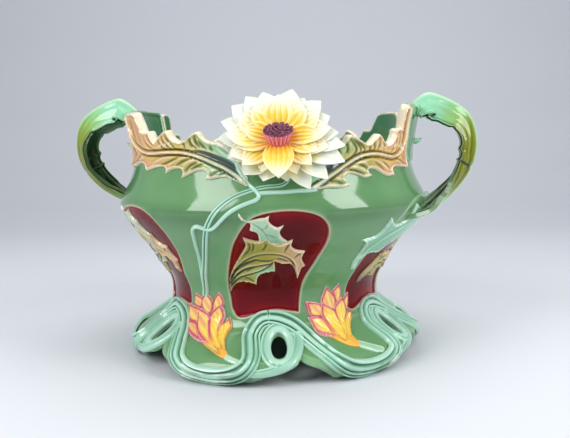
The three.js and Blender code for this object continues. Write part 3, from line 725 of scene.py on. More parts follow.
def swept_band_tree():
    tree, source = new_tree("swept_band", [("Section", "NodeSocketObject"), ("Width", "NodeSocketFloat"),
                                           ("Glaze", "NodeSocketMaterial")])
    add, link = tree.nodes.new, tree.links.new
    path, section = add("GeometryNodeMeshToCurve"), add("GeometryNodeMeshToCurve")
    upright, sweep = add("GeometryNodeSetCurveNormal"), add("GeometryNodeCurveToMesh")
    upright.mode = "FREE"
    scale, shape = add("ShaderNodeMath"), add("GeometryNodeObjectInfo")
    scale.operation = "MULTIPLY"
    link(source.outputs["Geometry"], path.inputs["Mesh"])
    link(path.outputs["Curve"], upright.inputs["Curve"])
    link(carried(tree, "out", "FLOAT_VECTOR"), upright.inputs["Normal"])
    link(upright.outputs["Curve"], sweep.inputs["Curve"])
    link(source.outputs["Section"], shape.inputs["Object"])
    link(shape.outputs["Geometry"], section.inputs["Mesh"])
    link(section.outputs["Curve"], sweep.inputs["Profile Curve"])
    link(carried(tree, "wide", "FLOAT"), scale.inputs[0])
    link(source.outputs["Width"], scale.inputs[1])
    link(scale.outputs[0], sweep.inputs["Scale"])
    sweep.inputs["Fill Caps"].default_value = True
    return glazed(tree, source, sweep.outputs["Mesh"])


def set_input(modifier, label, value):
    for item in modifier.node_group.interface.items_tree:
        if item.name == label and item.in_out == "INPUT":
            modifier[item.identifier] = value


def evaluated(obj):
    """The object's mesh with its node tree applied, and the tree taken off."""
    bpy.context.view_layer.update()
    depsgraph = bpy.context.evaluated_depsgraph_get()
    mesh = bpy.data.meshes.new_from_object(obj.evaluated_get(depsgraph))
    obj.modifiers.clear()
    return mesh


def helper(name, points, faces=(), edges=(), marks=()):
    """An object that a tree reads, taken away afterwards; marks are (name, kind, values)."""
    mesh = bpy.data.meshes.new(name)
    mesh.from_pydata((np.asarray(points) * MM).tolist(), edges, faces)
    for key, kind, values in marks:
        attribute = mesh.attributes.new(key, kind, "POINT")
        attribute.data.foreach_set("vector" if kind == "FLOAT_VECTOR" else "value",
                                   np.asarray(values, np.float32).ravel())
    obj = bpy.data.objects.new(name, mesh)
    bpy.context.scene.collection.objects.link(obj)
    return obj


def chain(count, closed=False):
    return [(i, (i + 1) % count) for i in range(count if closed else count - 1)]


def swept(name, points, out, wide, section, material):
    """Points and faces of a band swept along points, in millimetres."""
    path = helper(name + "_path", points, edges=chain(len(points)),
                  marks=[("out", "FLOAT_VECTOR", out), ("wide", "FLOAT", wide)])
    corners = [(x, y, 0) for x, y in section]
    outline = helper(name + "_section", corners, edges=chain(len(corners), closed=True))
    modifier = path.modifiers.new("band", "NODES")
    modifier.node_group = BAND_TREE
    set_input(modifier, "Section", outline)
    set_input(modifier, "Width", 1.0)
    set_input(modifier, "Glaze", material)
    mesh = evaluated(path)
    band = np.array([v.co for v in mesh.vertices]) / MM, [tuple(p.vertices) for p in mesh.polygons]
    for obj in (path, outline):
        bpy.data.objects.remove(obj)
    return band


BAND_TREE = swept_band_tree()
print("band tree inputs:", [i.name for i in BAND_TREE.interface.items_tree if i.in_out == "INPUT"])

# %% Sections of the bands
# Each row is (height out of the wall, place across the band); the band's half width is 1 across.
RIBBON_HALF_WIDTH = 8.2
RIBBON_SECTION = [
    (-1.2, -1), (1.6, -1.02), (3.4, -0.95), (4.1, -0.84), (3.6, -0.73), (1.9, -0.63), (1.5, -0.5),
    (2, -0.38), (3.2, -0.27), (3.9, -0.12), (3.8, 0.06), (3, 0.2), (1.6, 0.28), (1.9, 0.36), (3.2, 0.44),
    (3.5, 0.54), (2.9, 0.64), (1.4, 0.71), (1.2, 0.77), (2.2, 0.84), (2.4, 0.92), (1.5, 1), (-1.2, 1)]
LOOP_SECTION = [
    (-1.2, -1), (1.2, -1), (2.6, -0.84), (3.1, -0.55), (3.3, -0.15), (3.2, 0.2), (2.6, 0.45), (2, 0.55),
    (2.2, 0.68), (2, 0.85), (0.9, 1), (-1.2, 1)]
RING_SECTION = [
    (-1.2, -1), (0.4, -1), (1.5, -0.86), (2.2, -0.6), (2.5, -0.25), (2.4, 0.1), (1.9, 0.32), (1.5, 0.42),
    (1.7, 0.58), (1.6, 0.8), (0.6, 1), (-1.2, 1)]
STEM_SECTION = [
    (-1, -1), (0.6, -1), (1.8, -0.72), (2.3, -0.35), (2.4, 0), (2.3, 0.35), (1.8, 0.72), (0.6, 1), (-1, 1)]
DOUBLE_STEM_SECTION = [
    (-1, -1), (0.6, -1), (2, -0.8), (2.4, -0.52), (2, -0.26), (0.9, 0), (2, 0.26), (2.4, 0.52), (2, 0.8),
    (0.6, 1), (-1, 1)]


def evenly(path, steps):
    """Shares of a path's length, and the path's points there."""
    travelled = np.concatenate([[0], np.cumsum(np.linalg.norm(np.diff(path, axis=0), axis=1))])
    share = np.linspace(0, 1, steps)
    return share, np.stack([np.interp(share * travelled[-1], travelled, row) for row in path.T], -1)


def band_on_wall(name, route, section, half_width, steps, wide=None, lift=None, material=None):
    """A band along a route on the wall; lift raises its middle line where it crosses another."""
    share, path = evenly(rounded(drawn(route), closed=False, rounds=4, spacing=1.0), steps)
    raised = np.zeros(steps) if lift is None else np.array([lift(s) for s in share])
    width = np.ones(steps) if wide is None else np.array([wide(s) for s in share])
    out = wall_out(path[:, 0] / MM_PER_DEGREE, path[:, 1])
    section = [(height, across * half_width) for height, across in section]
    return swept(name, on_wall(path, raised), out, width, section, material)


# %% [markdown]
# ## The ribbon of the foot
# Six lengths of ribbon make one wave: each comes off a curl, runs down and round a lobe's edge, and
# climbs to the next curl. A flat ribbed ring lies round each hole, and a short strand closes the curl
# below it.

# %% Ribbon and curls
RIBBON_ROUTE = [
    (0.5, 51.3), (3.5, 50.8), (7, 49), (12.5, 43.5), (17, 35), (21.5, 26), (26, 17), (31, 10.5), (37, 8.6),
    (43, 8.6), (48.5, 10.5), (53, 15.5), (55, 22.5), (54, 30), (52.6, 37.5), (54.6, 45.5), (57.5, 50.3),
    (60.5, 51.3)]
RING_REACH = (5.5, 11.9)  # degrees across and height from the middle of a hole to its ring's middle line
RING_ROUTE = [(HOLE["degrees"] + RING_REACH[0] * math.sin(math.radians(a)),
               HOLE["height"] - RING_REACH[1] * math.cos(math.radians(a))) for a in range(-12, 373, 16)]
RING_HALF_WIDTH = 4.8
LOOP_ROUTE = [(13.6, 39), (13.2, 31), (10.2, 22.5), (5.2, 16.6), (-0.8, 13.2), (-5, 12.2)]


def sweep_piece(name, parts, material, nodes, turn=0, crease=50):
    points, faces, _ = joined([(p, f, flat_tint(p, (0, 0, 0))) for p, f in parts])
    return piece(name, points, faces, material, nodes, turn=turn, crease=crease)


def make_ribbons():
    ribbon = band_on_wall("ribbon", RIBBON_ROUTE, RIBBON_SECTION, RIBBON_HALF_WIDTH, 150,
                          wide=lambda s: 0.86 + 0.14 * min(1, 8 * min(s, 1 - s)), material=MINT_GLAZE)
    loop = band_on_wall("loop", LOOP_ROUTE, LOOP_SECTION, RING_HALF_WIDTH, 44,
                        wide=lambda s: 1 - 0.35 * s * s, lift=lambda s: -0.6 * s, material=MINT_GLAZE)
    ring = band_on_wall("ring", RING_ROUTE, RING_SECTION, RING_HALF_WIDTH, 110, material=MINT_GLAZE)
    for k in range(WINDOWS):
        turn = 360 / WINDOWS * k
        sweep_piece(f"ribbon_{k + 1}", [ribbon], MINT_GLAZE, [f"foot_ribbon_{k + 1}"], turn)
        sweep_piece(f"curl_{k + 1}", [loop, ring], MINT_GLAZE, [f"curl_loop_{k + 1}"], turn)
    return len(ribbon[1])


print("ribbon faces:", make_ribbons())

# %% [markdown]
# ## Stems
# Two stems fall from behind the lily to the bud on its left. The flat double strand widens as it falls.
# The thin one crosses it twice, and then runs down its left side. A short one goes to the right.

# %% Stems
STEM_MAIN = [
    (9.1, 184), (9.2, 178), (8.2, 173.5), (6, 171.3), (2.5, 170.9), (-0.9, 169.6), (-3.3, 167.9),
    (-5.5, 166.1), (-7.6, 164.2), (-9.7, 161.3), (-11.7, 157.6), (-13.4, 153.4), (-15, 148.8),
    (-16.7, 142.8), (-18.3, 136.6), (-19.5, 130.8), (-21.3, 122), (-23.6, 112.6), (-25.9, 103.1),
    (-28.4, 93), (-30.8, 82.8), (-33.2, 68)]
STEM_LOOP = [
    (-8.6, 191), (-8.1, 187.5), (-6.9, 181.2), (-5.3, 176), (-3.2, 170.8), (-1.4, 167), (-0.4, 163.4),
    (-1.3, 160.2), (-3.8, 158.2), (-6.2, 155.8), (-8.6, 152.6), (-10.6, 148.8), (-12.4, 144.6),
    (-14, 140.4), (-16, 136.6), (-17.6, 135.9), (-19.4, 137.2), (-21.1, 139), (-22.8, 137.8), (-23.9, 133),
    (-24.7, 126.3), (-25.9, 118.2), (-27.4, 108.6), (-28.9, 99.1), (-30.8, 88.1), (-32.8, 78.2), (-34, 68)]
STEM_RIGHT = [
    (-0.8, 165.4), (1.2, 165.8), (3.5, 166), (8.3, 166.2), (11.6, 167), (15.5, 166.8), (18, 167.5)]


def make_stems():
    main = band_on_wall("stem", STEM_MAIN, DOUBLE_STEM_SECTION, 3.2, 150,
                        wide=lambda s: 0.56 + 0.5 * s ** 1.5, material=MINT_GLAZE)
    loop = band_on_wall("stem", STEM_LOOP, STEM_SECTION, 1.7, 170, wide=lambda s: 1.1 - 0.3 * s,
                        lift=lambda s: bump(s, 0.56, 0.05) + 0.8 * bump(s, 0.17, 0.04), material=MINT_GLAZE)
    right = band_on_wall("stem", STEM_RIGHT, STEM_SECTION, 1.8, 40, material=MINT_GLAZE)
    for k, end in enumerate(("front", "back")):
        sweep_piece(f"lily_stems_{end}", [main, loop, right], MINT_GLAZE, [f"stems_{end}"],
                    HALF_TURN * k)


make_stems()
print("stems made")

# %% [markdown]
# ## Handles
# Each handle is a long leaf folded along its midrib. It springs from the end tab, turns down sharply and
# runs to the shoulder. The fold makes it a gutter, open towards the pot, with toothed edges. The front
# flank of the right handle is the broad one; half a turn round, it is the far flank of the left one.

# %% Route of the right handle
HANDLE_KEEL = [          # degrees, radius, height of the fold
    (90, 139, 240.5), (90, 146.5, 247.5), (90, 155.5, 253.2), (90, 165, 250.8), (90, 177, 245.6),
    (89.7, 188, 239.4), (89.5, 196.5, 231.8), (89.3, 201.6, 222), (89, 203.9, 211), (88.7, 204.2, 200),
    (88.2, 202.8, 190), (87.3, 199, 179.5), (86, 193, 169.5), (84.5, 185.5, 160.5), (82, 177, 152.5),
    (79, 170.5, 146.8), (75, 164.5, 142.5), (71, 160, 139.5), (66, 155, 136.5), (61.5, 148.5, 134),
    (58.5, 140.5, 132)]
HANDLE_HUB = (155, 0, 195)
HANDLE_STEPS = 190
NICK = 0.515             # share of the length where a nick crosses the near flank
NICK_SLANT = 0.022
# Share of the length, then: half width, depth of the near flank, depth of the far flank.
HANDLE_SIZES = [
    (0.00, 12, 15, 15), (0.06, 12.5, 21, 19), (0.14, 13.5, 25, 22.5), (0.24, 13.5, 23.5, 20),
    (0.33, 13.5, 19.5, 15), (0.40, 13, 16.5, 10.5), (0.52, 12.5, 15, 8.5), (0.63, 12, 13.5, 8),
    (0.74, 11.5, 10.5, 7.5), (0.83, 10.5, 7, 6), (0.90, 8.5, 5, 5), (1.00, 5.5, 2.6, 2.6)]
HANDLE_MINT = (150, 215, 175)
FLANK_POINTS = 22


def along_route(route, steps):
    """Even steps along a smooth curve through the corners of a route."""
    degrees, radius, height = np.array(route, float).T
    angle = np.radians(degrees)
    path = np.stack([radius * np.sin(angle), -radius * np.cos(angle), height], -1)
    for _ in range(4):
        start, end = path[:-1], path[1:]
        cut = np.concatenate([start * 0.75 + end * 0.25, start * 0.25 + end * 0.75], axis=1)
        path = np.concatenate([path[:1], cut.reshape(-1, 3), path[-1:]])
    return evenly(path, steps)


# %% Handle strap
def handle_section(half_width, near, far, share):
    """Outer line of the folded leaf, from its far edge over the keel to the near one, and its inner line."""
    t = np.linspace(-1, 1, 2 * FLANK_POINTS + 1)
    size = np.abs(t)
    tooth = 2.0 * bump(share, 0.46, 0.02) + 3.4 * bump(share, 0.81, 0.03)
    ragged = 0.35 * math.sin(share * 61) + 0.2 * math.sin(share * 97 + 1)
    depth = np.where(t > 0, near + tooth, far) + ragged * size ** 3
    out = -depth * size * (1 + 0.16 * np.sin(np.pi * size))
    out += 0.9 * bump(t, 0, 0.05) - 0.5 * bump(size, 0.2, 0.07)
    out += 1.1 * bump(size, 0.97, 0.05) - 0.8 * bump(size, 0.86, 0.05)
    out += 0.45 * np.sin(size * 15 + share * 14) * np.clip(size * 3, 0, 1) * np.clip((0.85 - size) * 6, 0, 1)
    out -= 1.3 * bump(share, NICK + NICK_SLANT * t, 0.006) * (t > 0.02)
    out -= 0.8 * bump(share, NICK, 0.006) * (size < 0.06)
    side = half_width * np.sign(t) * size ** 0.72
    outer = np.stack([side, out], -1)
    along = unit(np.gradient(outer, axis=0))
    inward = np.stack([along[:, 1], -along[:, 0]], -1)
    thick = 2.4 + 3.0 * (1 - size) ** 0.7
    return outer, outer + inward * thick[:, None]


def lofted(rings):
    """A closed body through rings of points."""
    count, size = rings.shape[:2]
    faces = [(k * size + i, k * size + (i + 1) % size, (k + 1) * size + (i + 1) % size, (k + 1) * size + i)
             for k in range(count - 1) for i in range(size)]
    faces += [tuple(range(size))[::-1], tuple((count - 1) * size + i for i in range(size))]
    return rings.reshape(-1, 3), faces


def round_body(rows, right, back, columns):
    """A closed body through circles; each row is (centre, radius)."""
    angles = np.linspace(0, 2 * math.pi, columns, endpoint=False)
    spokes = np.outer(np.cos(angles), right) + np.outer(np.sin(angles), back)
    return lofted(np.array([np.asarray(centre) + radius * spokes for centre, radius in rows]))


HANDLE_OUTSIDE = [       # share of the length, colour of the outer face
    (0, HANDLE_MINT), (0.16, (142, 206, 172)), (0.25, (124, 178, 112)), (0.34, (122, 142, 40)),
    (0.47, (108, 116, 12)), (0.62, (108, 118, 14)), (0.69, (126, 160, 70)), (0.75, (138, 204, 150)),
    (1, (134, 200, 166))]
# Share of the length, colour of the inner face: green at both ends, with painted shade that darkens the
# middle of the gutter to near black.
HANDLE_INSIDE_SHADED = [
    (0, (60, 120, 70)), (0.25, (50, 96, 66)), (0.45, (24, 44, 14)), (0.75, (26, 36, 8)),
    (0.9, (50, 92, 50)), (1, (60, 110, 60))]


def handle_colours(s, t):
    """Colours of one step of the strap's outer face, mint at both ends and olive on the outer turn."""
    size = np.abs(t)
    face = by_distance(np.full(len(t), s), HANDLE_OUTSIDE)
    streak = np.clip(0.5 + 0.5 * np.sin(size * 24 + 5 * math.sin(s * 11)), 0, 1) ** 2
    middle = bump(s, 0.45, 0.22)
    face = blended(face, (84, 84, 4), 0.75 * middle * streak * (t > 0.05) * (size < 0.9))
    face = blended(face, (190, 186, 60), 0.45 * middle * (1 - streak) * bump(size, 0.45, 0.2))
    face = blended(face, (176, 220, 120), 0.4 * bump(s, 0.24, 0.08) * streak)
    face = blended(face, (40, 52, 4), 0.9 * bump(s, NICK + NICK_SLANT * t, 0.009) * (t > 0.03))
    face = blended(face, (46, 60, 8), 0.8 * middle * bump(size, 0.86, 0.05))
    return blended(face, (200, 238, 200), 0.85 * bump(t, 0, 0.045))


def thorn():
    """The small mint thorn that curls out below the handle's root."""
    path = np.array([(139, 0, 205.5), (143, -1, 205), (146.4, -1.5, 205.4), (149, -1.5, 206.8),
                     (150.2, -1.5, 208.4)])
    rings = []
    for k, radius in enumerate((3.4, 3.2, 2.5, 1.4, 0.35)):
        ahead = path[min(k + 1, 4)] - path[max(k - 1, 0)]
        ahead /= np.linalg.norm(ahead)
        side = np.cross(ahead, (0, 1, 0))
        rings.append([path[k] + radius * (math.cos(a) * side + math.sin(a) * np.array([0, 1.3, 0]))
                      for a in np.linspace(0, 2 * math.pi, 13)[:-1]])
    points, faces = lofted(np.array(rings)[:, ::-1])
    return points, faces, flat_tint(points, HANDLE_MINT)


def make_handles():
    share, path = along_route(HANDLE_KEEL, HANDLE_STEPS)
    ahead = unit(np.gradient(path, axis=0))
    away = path - np.array(HANDLE_HUB)
    away[:, 1] = 0
    side = unit(np.cross(ahead, unit(away)))
    out = np.cross(side, ahead)
    sizes = np.array(HANDLE_SIZES)
    rings, tints = [], []
    for k, s in enumerate(share):
        half_width, near, far = (np.interp(s, sizes[:, 0], sizes[:, i]) for i in range(1, 4))
        outer, inner = handle_section(half_width, near, far, s)
        section = np.concatenate([outer, inner[::-1]])
        rings.append(path[k] + side[k] * section[:, :1] + out[k] * section[:, 1:])
        t = np.linspace(-1, 1, len(outer))
        tints.append(np.concatenate([handle_colours(s, t), by_distance(np.full(len(t), s), HANDLE_INSIDE_SHADED)]))
    strap = (*lofted(np.array(rings)), np.concatenate(tints))
    body = joined([strap, thorn()])
    return twice("leaf_handle_{}", "handle_{}", RIGHT_LEFT, body, LEAF_GLAZE, "handle_glaze")


LEAF_GLAZE = glaze("leaf_glaze", HANDLE_MINT, (190, 222, 170), (24, 46, 8), tinted=True, drift=0.1,
                   depth=0.6, gloss=(0.35, 0.3), thin=0.3)
print("handle faces:", make_handles())

# %% [markdown]
# ## Rim leaves
# Two long leaves stand on the front rim, one to each side of the lily, and two more on the back. A thick
# midrib runs the whole length between two grooves, veins run into the spiny lower lobes, and curved
# gouges are cut into the upper ones. The leaf is a free plate above the rim and lies on the wall below it.

# %% Relief made of lines
def relief(flat, lines):
    """Heights from lines pressed into a sheet; a line is (points, height, half width, tapered ends)."""
    height = np.zeros(len(flat))
    for points, high, wide, tapered in lines:
        path = rounded(drawn(points), closed=False, rounds=3, spacing=1.2)
        gap, share, _ = nearest(flat, path)
        strength = np.sin(np.pi * np.clip(share, 0.02, 0.98)) ** 0.6 if tapered else 1.0
        height += high * strength * bump(gap, 0, wide)
    return height


def hollow(flat, points, depth, soft=1.2):
    """How deep a sheet is inside an outline, and the outline's mask."""
    outline = rounded(drawn(points), spacing=1.0)
    gap = nearest(flat, outline, closed=True)[0] * inside(flat, outline)
    mask = 1 - np.exp(-gap / soft)
    return -depth * mask, mask


def plate_edges(outline, flat, heights, lift):
    """Lifts of a crest plate's outer and inner face: on the wall below the rim, free above it."""
    gap = nearest(flat, outline, closed=True)[0]
    over = np.clip(1 - gap / 1.6, 0, 1) ** 2
    free = np.clip((heights - RIM_HEIGHT - 0.2) / 1.0, 0, 1)
    outer = lift - over * (0.9 + 0.9 * free)
    inner = -0.8 - free * (CREST_INNER - 0.8) + free * over * 1.8
    return outer, inner, gap


CREST_INNER = 5.5        # how far the plate's inner face lies behind the wall's outer line
print("relief tools are ready")

# %% Drawing of the rim leaves
LEFT_LEAF = {
    "outline": [
        (-4.2, 170.2), (-6.5, 173.1), (-8.6, 175.6), (-11, 178), (-12.9, 178.8), (-14.7, 178.2),
        (-16.2, 177.3), (-17.7, 176.6), (-19.4, 177, 1), (-18.5, 181.2), (-19.4, 183), (-20.8, 184.1),
        (-22.5, 184), (-24.1, 183), (-25.8, 181.5), (-27.1, 179.6), (-29.2, 177.9, 1), (-28.7, 181.4),
        (-29.2, 183.6), (-30.3, 185.4), (-32.4, 185.7), (-34.4, 184.9), (-36, 183.4), (-37.3, 181, 1),
        (-37.1, 184.8), (-38.3, 186.6), (-40.4, 187.3), (-42.9, 186.5), (-45.6, 185.2), (-50.2, 183, 1),
        (-50.6, 186.5), (-52.7, 188.7), (-55.7, 189.7), (-60, 188.6), (-66, 185.5), (-71.5, 184.5, 1),
        (-74.4, 190), (-74.4, 205), (-74.4, 222), (-73.6, 230), (-70.5, 234.8), (-64, 236), (-58.2, 235.6),
        (-54.8, 234.4), (-54.1, 231), (-53.5, 227), (-52.2, 222), (-51.6, 217.6), (-48.7, 217.9),
        (-46.3, 218.2), (-45.6, 215.5), (-45, 211.6), (-43.6, 208.1, 1), (-41.8, 211.2), (-39.8, 214.9),
        (-37.6, 217.8), (-35.7, 218.6), (-35, 216.2), (-34.1, 212.4), (-32.5, 210.1), (-30.5, 208.6),
        (-28.9, 208.9), (-27.3, 210.7), (-25.7, 213.5), (-24.1, 215.8), (-22.5, 216.9), (-21.6, 215.9),
        (-20.8, 213.3), (-19.3, 209.6), (-17.7, 208.2), (-16.1, 207.7), (-14.5, 207.1), (-11.5, 203),
        (-8.5, 196), (-6, 186), (-4.2, 177)],
    "midrib": [
        (-66, 233), (-65, 222), (-63, 212), (-59.5, 206.2), (-55.4, 202.2), (-52.2, 199.8), (-48.6, 198.7),
        (-44.2, 198.7), (-38.8, 199.4), (-34.2, 199.8), (-30, 199.6), (-26.2, 198.2), (-22.7, 196),
        (-19.4, 193.1), (-16.1, 189.4), (-12.8, 186.2), (-9.6, 181.5), (-6.6, 176.6), (-4.6, 171.6)],
    "veins": [
        [(-32.6, 197.2), (-38.1, 194.9), (-43.5, 190.6), (-48.2, 185.4)],
        [(-28.6, 196.4), (-32.7, 193.1), (-35.5, 188.6), (-36.5, 183.3)],
        [(-36.2, 195.3), (-41.7, 193), (-46.2, 188.2)],
        [(-23.9, 193.4), (-27.6, 190.4), (-29.2, 186.4), (-28.9, 181.1)],
        [(-14.2, 185.5), (-17.2, 184.2), (-18.8, 181.4), (-18.9, 178.5)],
        [(-50, 197), (-54.5, 194.5), (-60, 191)], [(-58, 203), (-63, 198), (-68, 190)],
        [(-68.5, 231), (-68, 221), (-66, 212), (-62.5, 205)]],
    "gouges": [
        [(-38.8, 215.4), (-38.6, 211.1), (-37.2, 206.6), (-34.4, 202.7)],
        [(-37, 215.4), (-35.4, 208.6), (-31.9, 202.9)],
        [(-40.6, 212.4), (-40.8, 208), (-39, 203.6), (-36.5, 202)],
        [(-25.5, 213.3), (-25.6, 209.6), (-24.8, 205.2), (-22.8, 202.4)],
        [(-23.4, 214.3), (-23.2, 208.6), (-21.6, 203.6)], [(-22.1, 209.6), (-20.6, 205.2), (-19, 202)],
        [(-27.8, 210.4), (-28.6, 206.6), (-27.6, 202.9)], [(-17.8, 205.2), (-17.4, 202.6), (-16.6, 200.2)],
        [(-50.6, 215), (-50.2, 209.4), (-47.4, 204.4), (-43.6, 201.6)],
        [(-48.2, 216), (-47.4, 211.4), (-44.6, 205.4)],
        [(-30.2, 195.6), (-34.5, 192.6), (-39.2, 188.9), (-43.2, 187.2)],
        [(-26.2, 194.2), (-29.8, 191.6), (-32.4, 187.6)],
        [(-22.6, 191.4), (-25.5, 188.8), (-27.2, 185.4), (-27.9, 181.6)],
        [(-20.6, 189.6), (-23.6, 187.4), (-26, 183.6)],
        [(-12.4, 184), (-15.2, 182.8), (-16.9, 180.2), (-17.6, 178.4)],
        [(-10.8, 182), (-13.6, 180.9), (-15.4, 179)], [(-57, 232), (-56.8, 224), (-56, 216), (-54, 209)],
        [(-60.5, 200), (-64, 195), (-68, 188)], [(-55, 198.6), (-59, 194), (-64, 189)]],
    "hollows": [
        [
            (-25.2, 201.6), (-22.5, 202), (-19, 200.6), (-16, 198), (-13, 195.2), (-9.6, 191.4),
            (-7.6, 186.5), (-7.4, 181.6), (-9, 183.6), (-12.2, 188.6), (-15.6, 191.8), (-19.1, 195.6),
            (-22.2, 198.4)], [(-11.8, 182.6), (-9.4, 178.4), (-7, 174.8), (-8.4, 176), (-10.6, 179.2)]],
    "curls": [
        [(-15.4, 205.5), (-14.2, 200.8), (-12.4, 197.6), (-9.6, 194.2)],
        [(-12.8, 204.5), (-11.4, 200.6), (-8.6, 196.6)]],
    "tints": [
        (-76, (216, 160, 112)), (-60, (220, 165, 118)), (-48, (224, 174, 124)), (-38, (222, 180, 112)),
        (-31, (200, 178, 84)), (-24, (166, 172, 84)), (-18, (150, 190, 128)), (-12, (146, 205, 164)),
        (-4, (140, 204, 170))],
}
RIGHT_LEAF = {
    "outline": [
        (14.2, 165.6), (16.6, 166.8), (20.8, 168.4), (24, 168.4), (26.6, 167.9), (28.3, 168.4),
        (30.4, 170.2, 1), (28.5, 173.9), (28.4, 176.1), (29.4, 178.3), (30.9, 179.3), (32.8, 179.1),
        (34.9, 177.4), (36.6, 175.5), (38.2, 175), (40.4, 176.5, 1), (39.2, 179.6), (39.4, 181.9),
        (40.9, 182.9), (43, 181.9), (45.4, 178.9), (47.6, 176.3), (49.5, 175), (53, 175.6, 1),
        (52.2, 178.9), (52.4, 181.3), (54.7, 182.7), (58.3, 182.7), (62.1, 181.5), (65.9, 181, 1),
        (65.9, 190), (65.9, 205), (65.9, 222), (65.9, 234), (65, 237.6), (62.6, 238.6), (60.2, 237),
        (60, 231), (60.4, 223), (60.6, 216.6), (59.3, 217), (57.1, 217.2), (54.9, 216), (55.2, 212),
        (54.1, 207.1), (52, 203.6), (50.5, 202.7, 1), (47.9, 207.3), (46.4, 211), (44.8, 212.9),
        (42.9, 209), (41, 205), (39.9, 203.9, 1), (38.1, 205.5), (35.2, 208.7), (32.4, 212), (31, 211.9),
        (30, 208.6), (29, 204.6), (27.6, 203.6), (26, 206), (23.8, 205.5), (20.6, 200), (17.5, 192),
        (15, 180)],
    "midrib": [
        (16.4, 168.2), (20.1, 172.6), (22.2, 176), (24.7, 179.5), (27.7, 183.6), (30.5, 187.4),
        (33.4, 191.1), (36.2, 193.6), (39.5, 195), (43.1, 195.2), (46.1, 194.6), (49.4, 193), (53, 191.6),
        (56.5, 192.2), (59.5, 195.8), (61.6, 201.7), (62.8, 212), (63.2, 226), (63.2, 235)],
    "veins": [
        [(43.2, 192.9), (40.5, 190.6), (36.7, 187.6), (33.2, 184)],
        [(40.4, 190.2), (44.9, 188.4), (48.2, 183.4), (51.2, 176.4)],
        [(32.1, 184.6), (35.1, 183.8), (37.6, 180.6), (39.3, 177.2)],
        [(24.2, 176.2), (27, 175.2), (29.2, 171)], [(52, 190), (57, 188.6), (63.5, 182.4)],
        [(36, 190), (38.6, 187.4), (39.6, 183.4)]],
    "gouges": [
        [(31.2, 209.4), (33.2, 205), (34.7, 200.1), (33.9, 196.3), (32.4, 193.4)],
        [(34.4, 207.6), (37, 203), (38.4, 199.2), (37.6, 197.2)],
        [(32.8, 208.8), (35.4, 203.6), (36.6, 199.8), (35.9, 196.6)],
        [(40.4, 203), (41, 200), (40.4, 197.6)], [(42.4, 206.6), (43.2, 202), (42.4, 198)],
        [(45, 210.6), (45.8, 205.2), (45.2, 200.5), (44.1, 198)], [(47, 208), (48.7, 202.9), (48, 197.6)],
        [(57.4, 215.2), (59, 208), (58.2, 201), (55.4, 195.8)],
        [(55.6, 214.4), (56.6, 208), (55.6, 202), (52.8, 196.4)],
        [(29.8, 207.4), (31, 200.8), (30.2, 194.8)], [(26.4, 203.4), (27.8, 197.8), (27.4, 190.8)],
        [(30, 182.5), (33, 181.6), (35.8, 179), (37.8, 176.5)],
        [(34.6, 186.6), (37.6, 185.4), (39, 182), (39.6, 178.6)], [(47, 188.4), (49.8, 184.6), (51, 179.6)],
        [(42.6, 188.2), (45.4, 185), (47.6, 180)], [(22.4, 172.8), (25.4, 173), (27.4, 170.4)],
        [(56, 190.6), (60, 188), (64, 184.2)], [(61.2, 232), (61.4, 222), (61, 212)]],
    "hollows": [
        [
            (22.4, 178.6), (25.6, 182.6), (28.2, 187), (28.4, 191.5), (25.2, 191), (21.2, 186), (19, 178),
            (19.6, 174.6)],
        [
            (33.4, 190.2), (37, 192.4), (41, 193.3), (37.6, 191.4), (33.6, 188), (30.4, 184.4),
            (27.2, 180.6), (26.4, 180.8), (29.6, 185.6)]],
    "curls": [[(22, 200), (24.4, 194), (26, 190)]],
    "tints": [
        (12, (140, 204, 170)), (20, (142, 200, 150)), (27, (150, 184, 108)), (34, (158, 176, 92)),
        (41, (186, 178, 90)), (47, (218, 176, 116)), (54, (222, 168, 122)), (67, (220, 160, 114))],
}


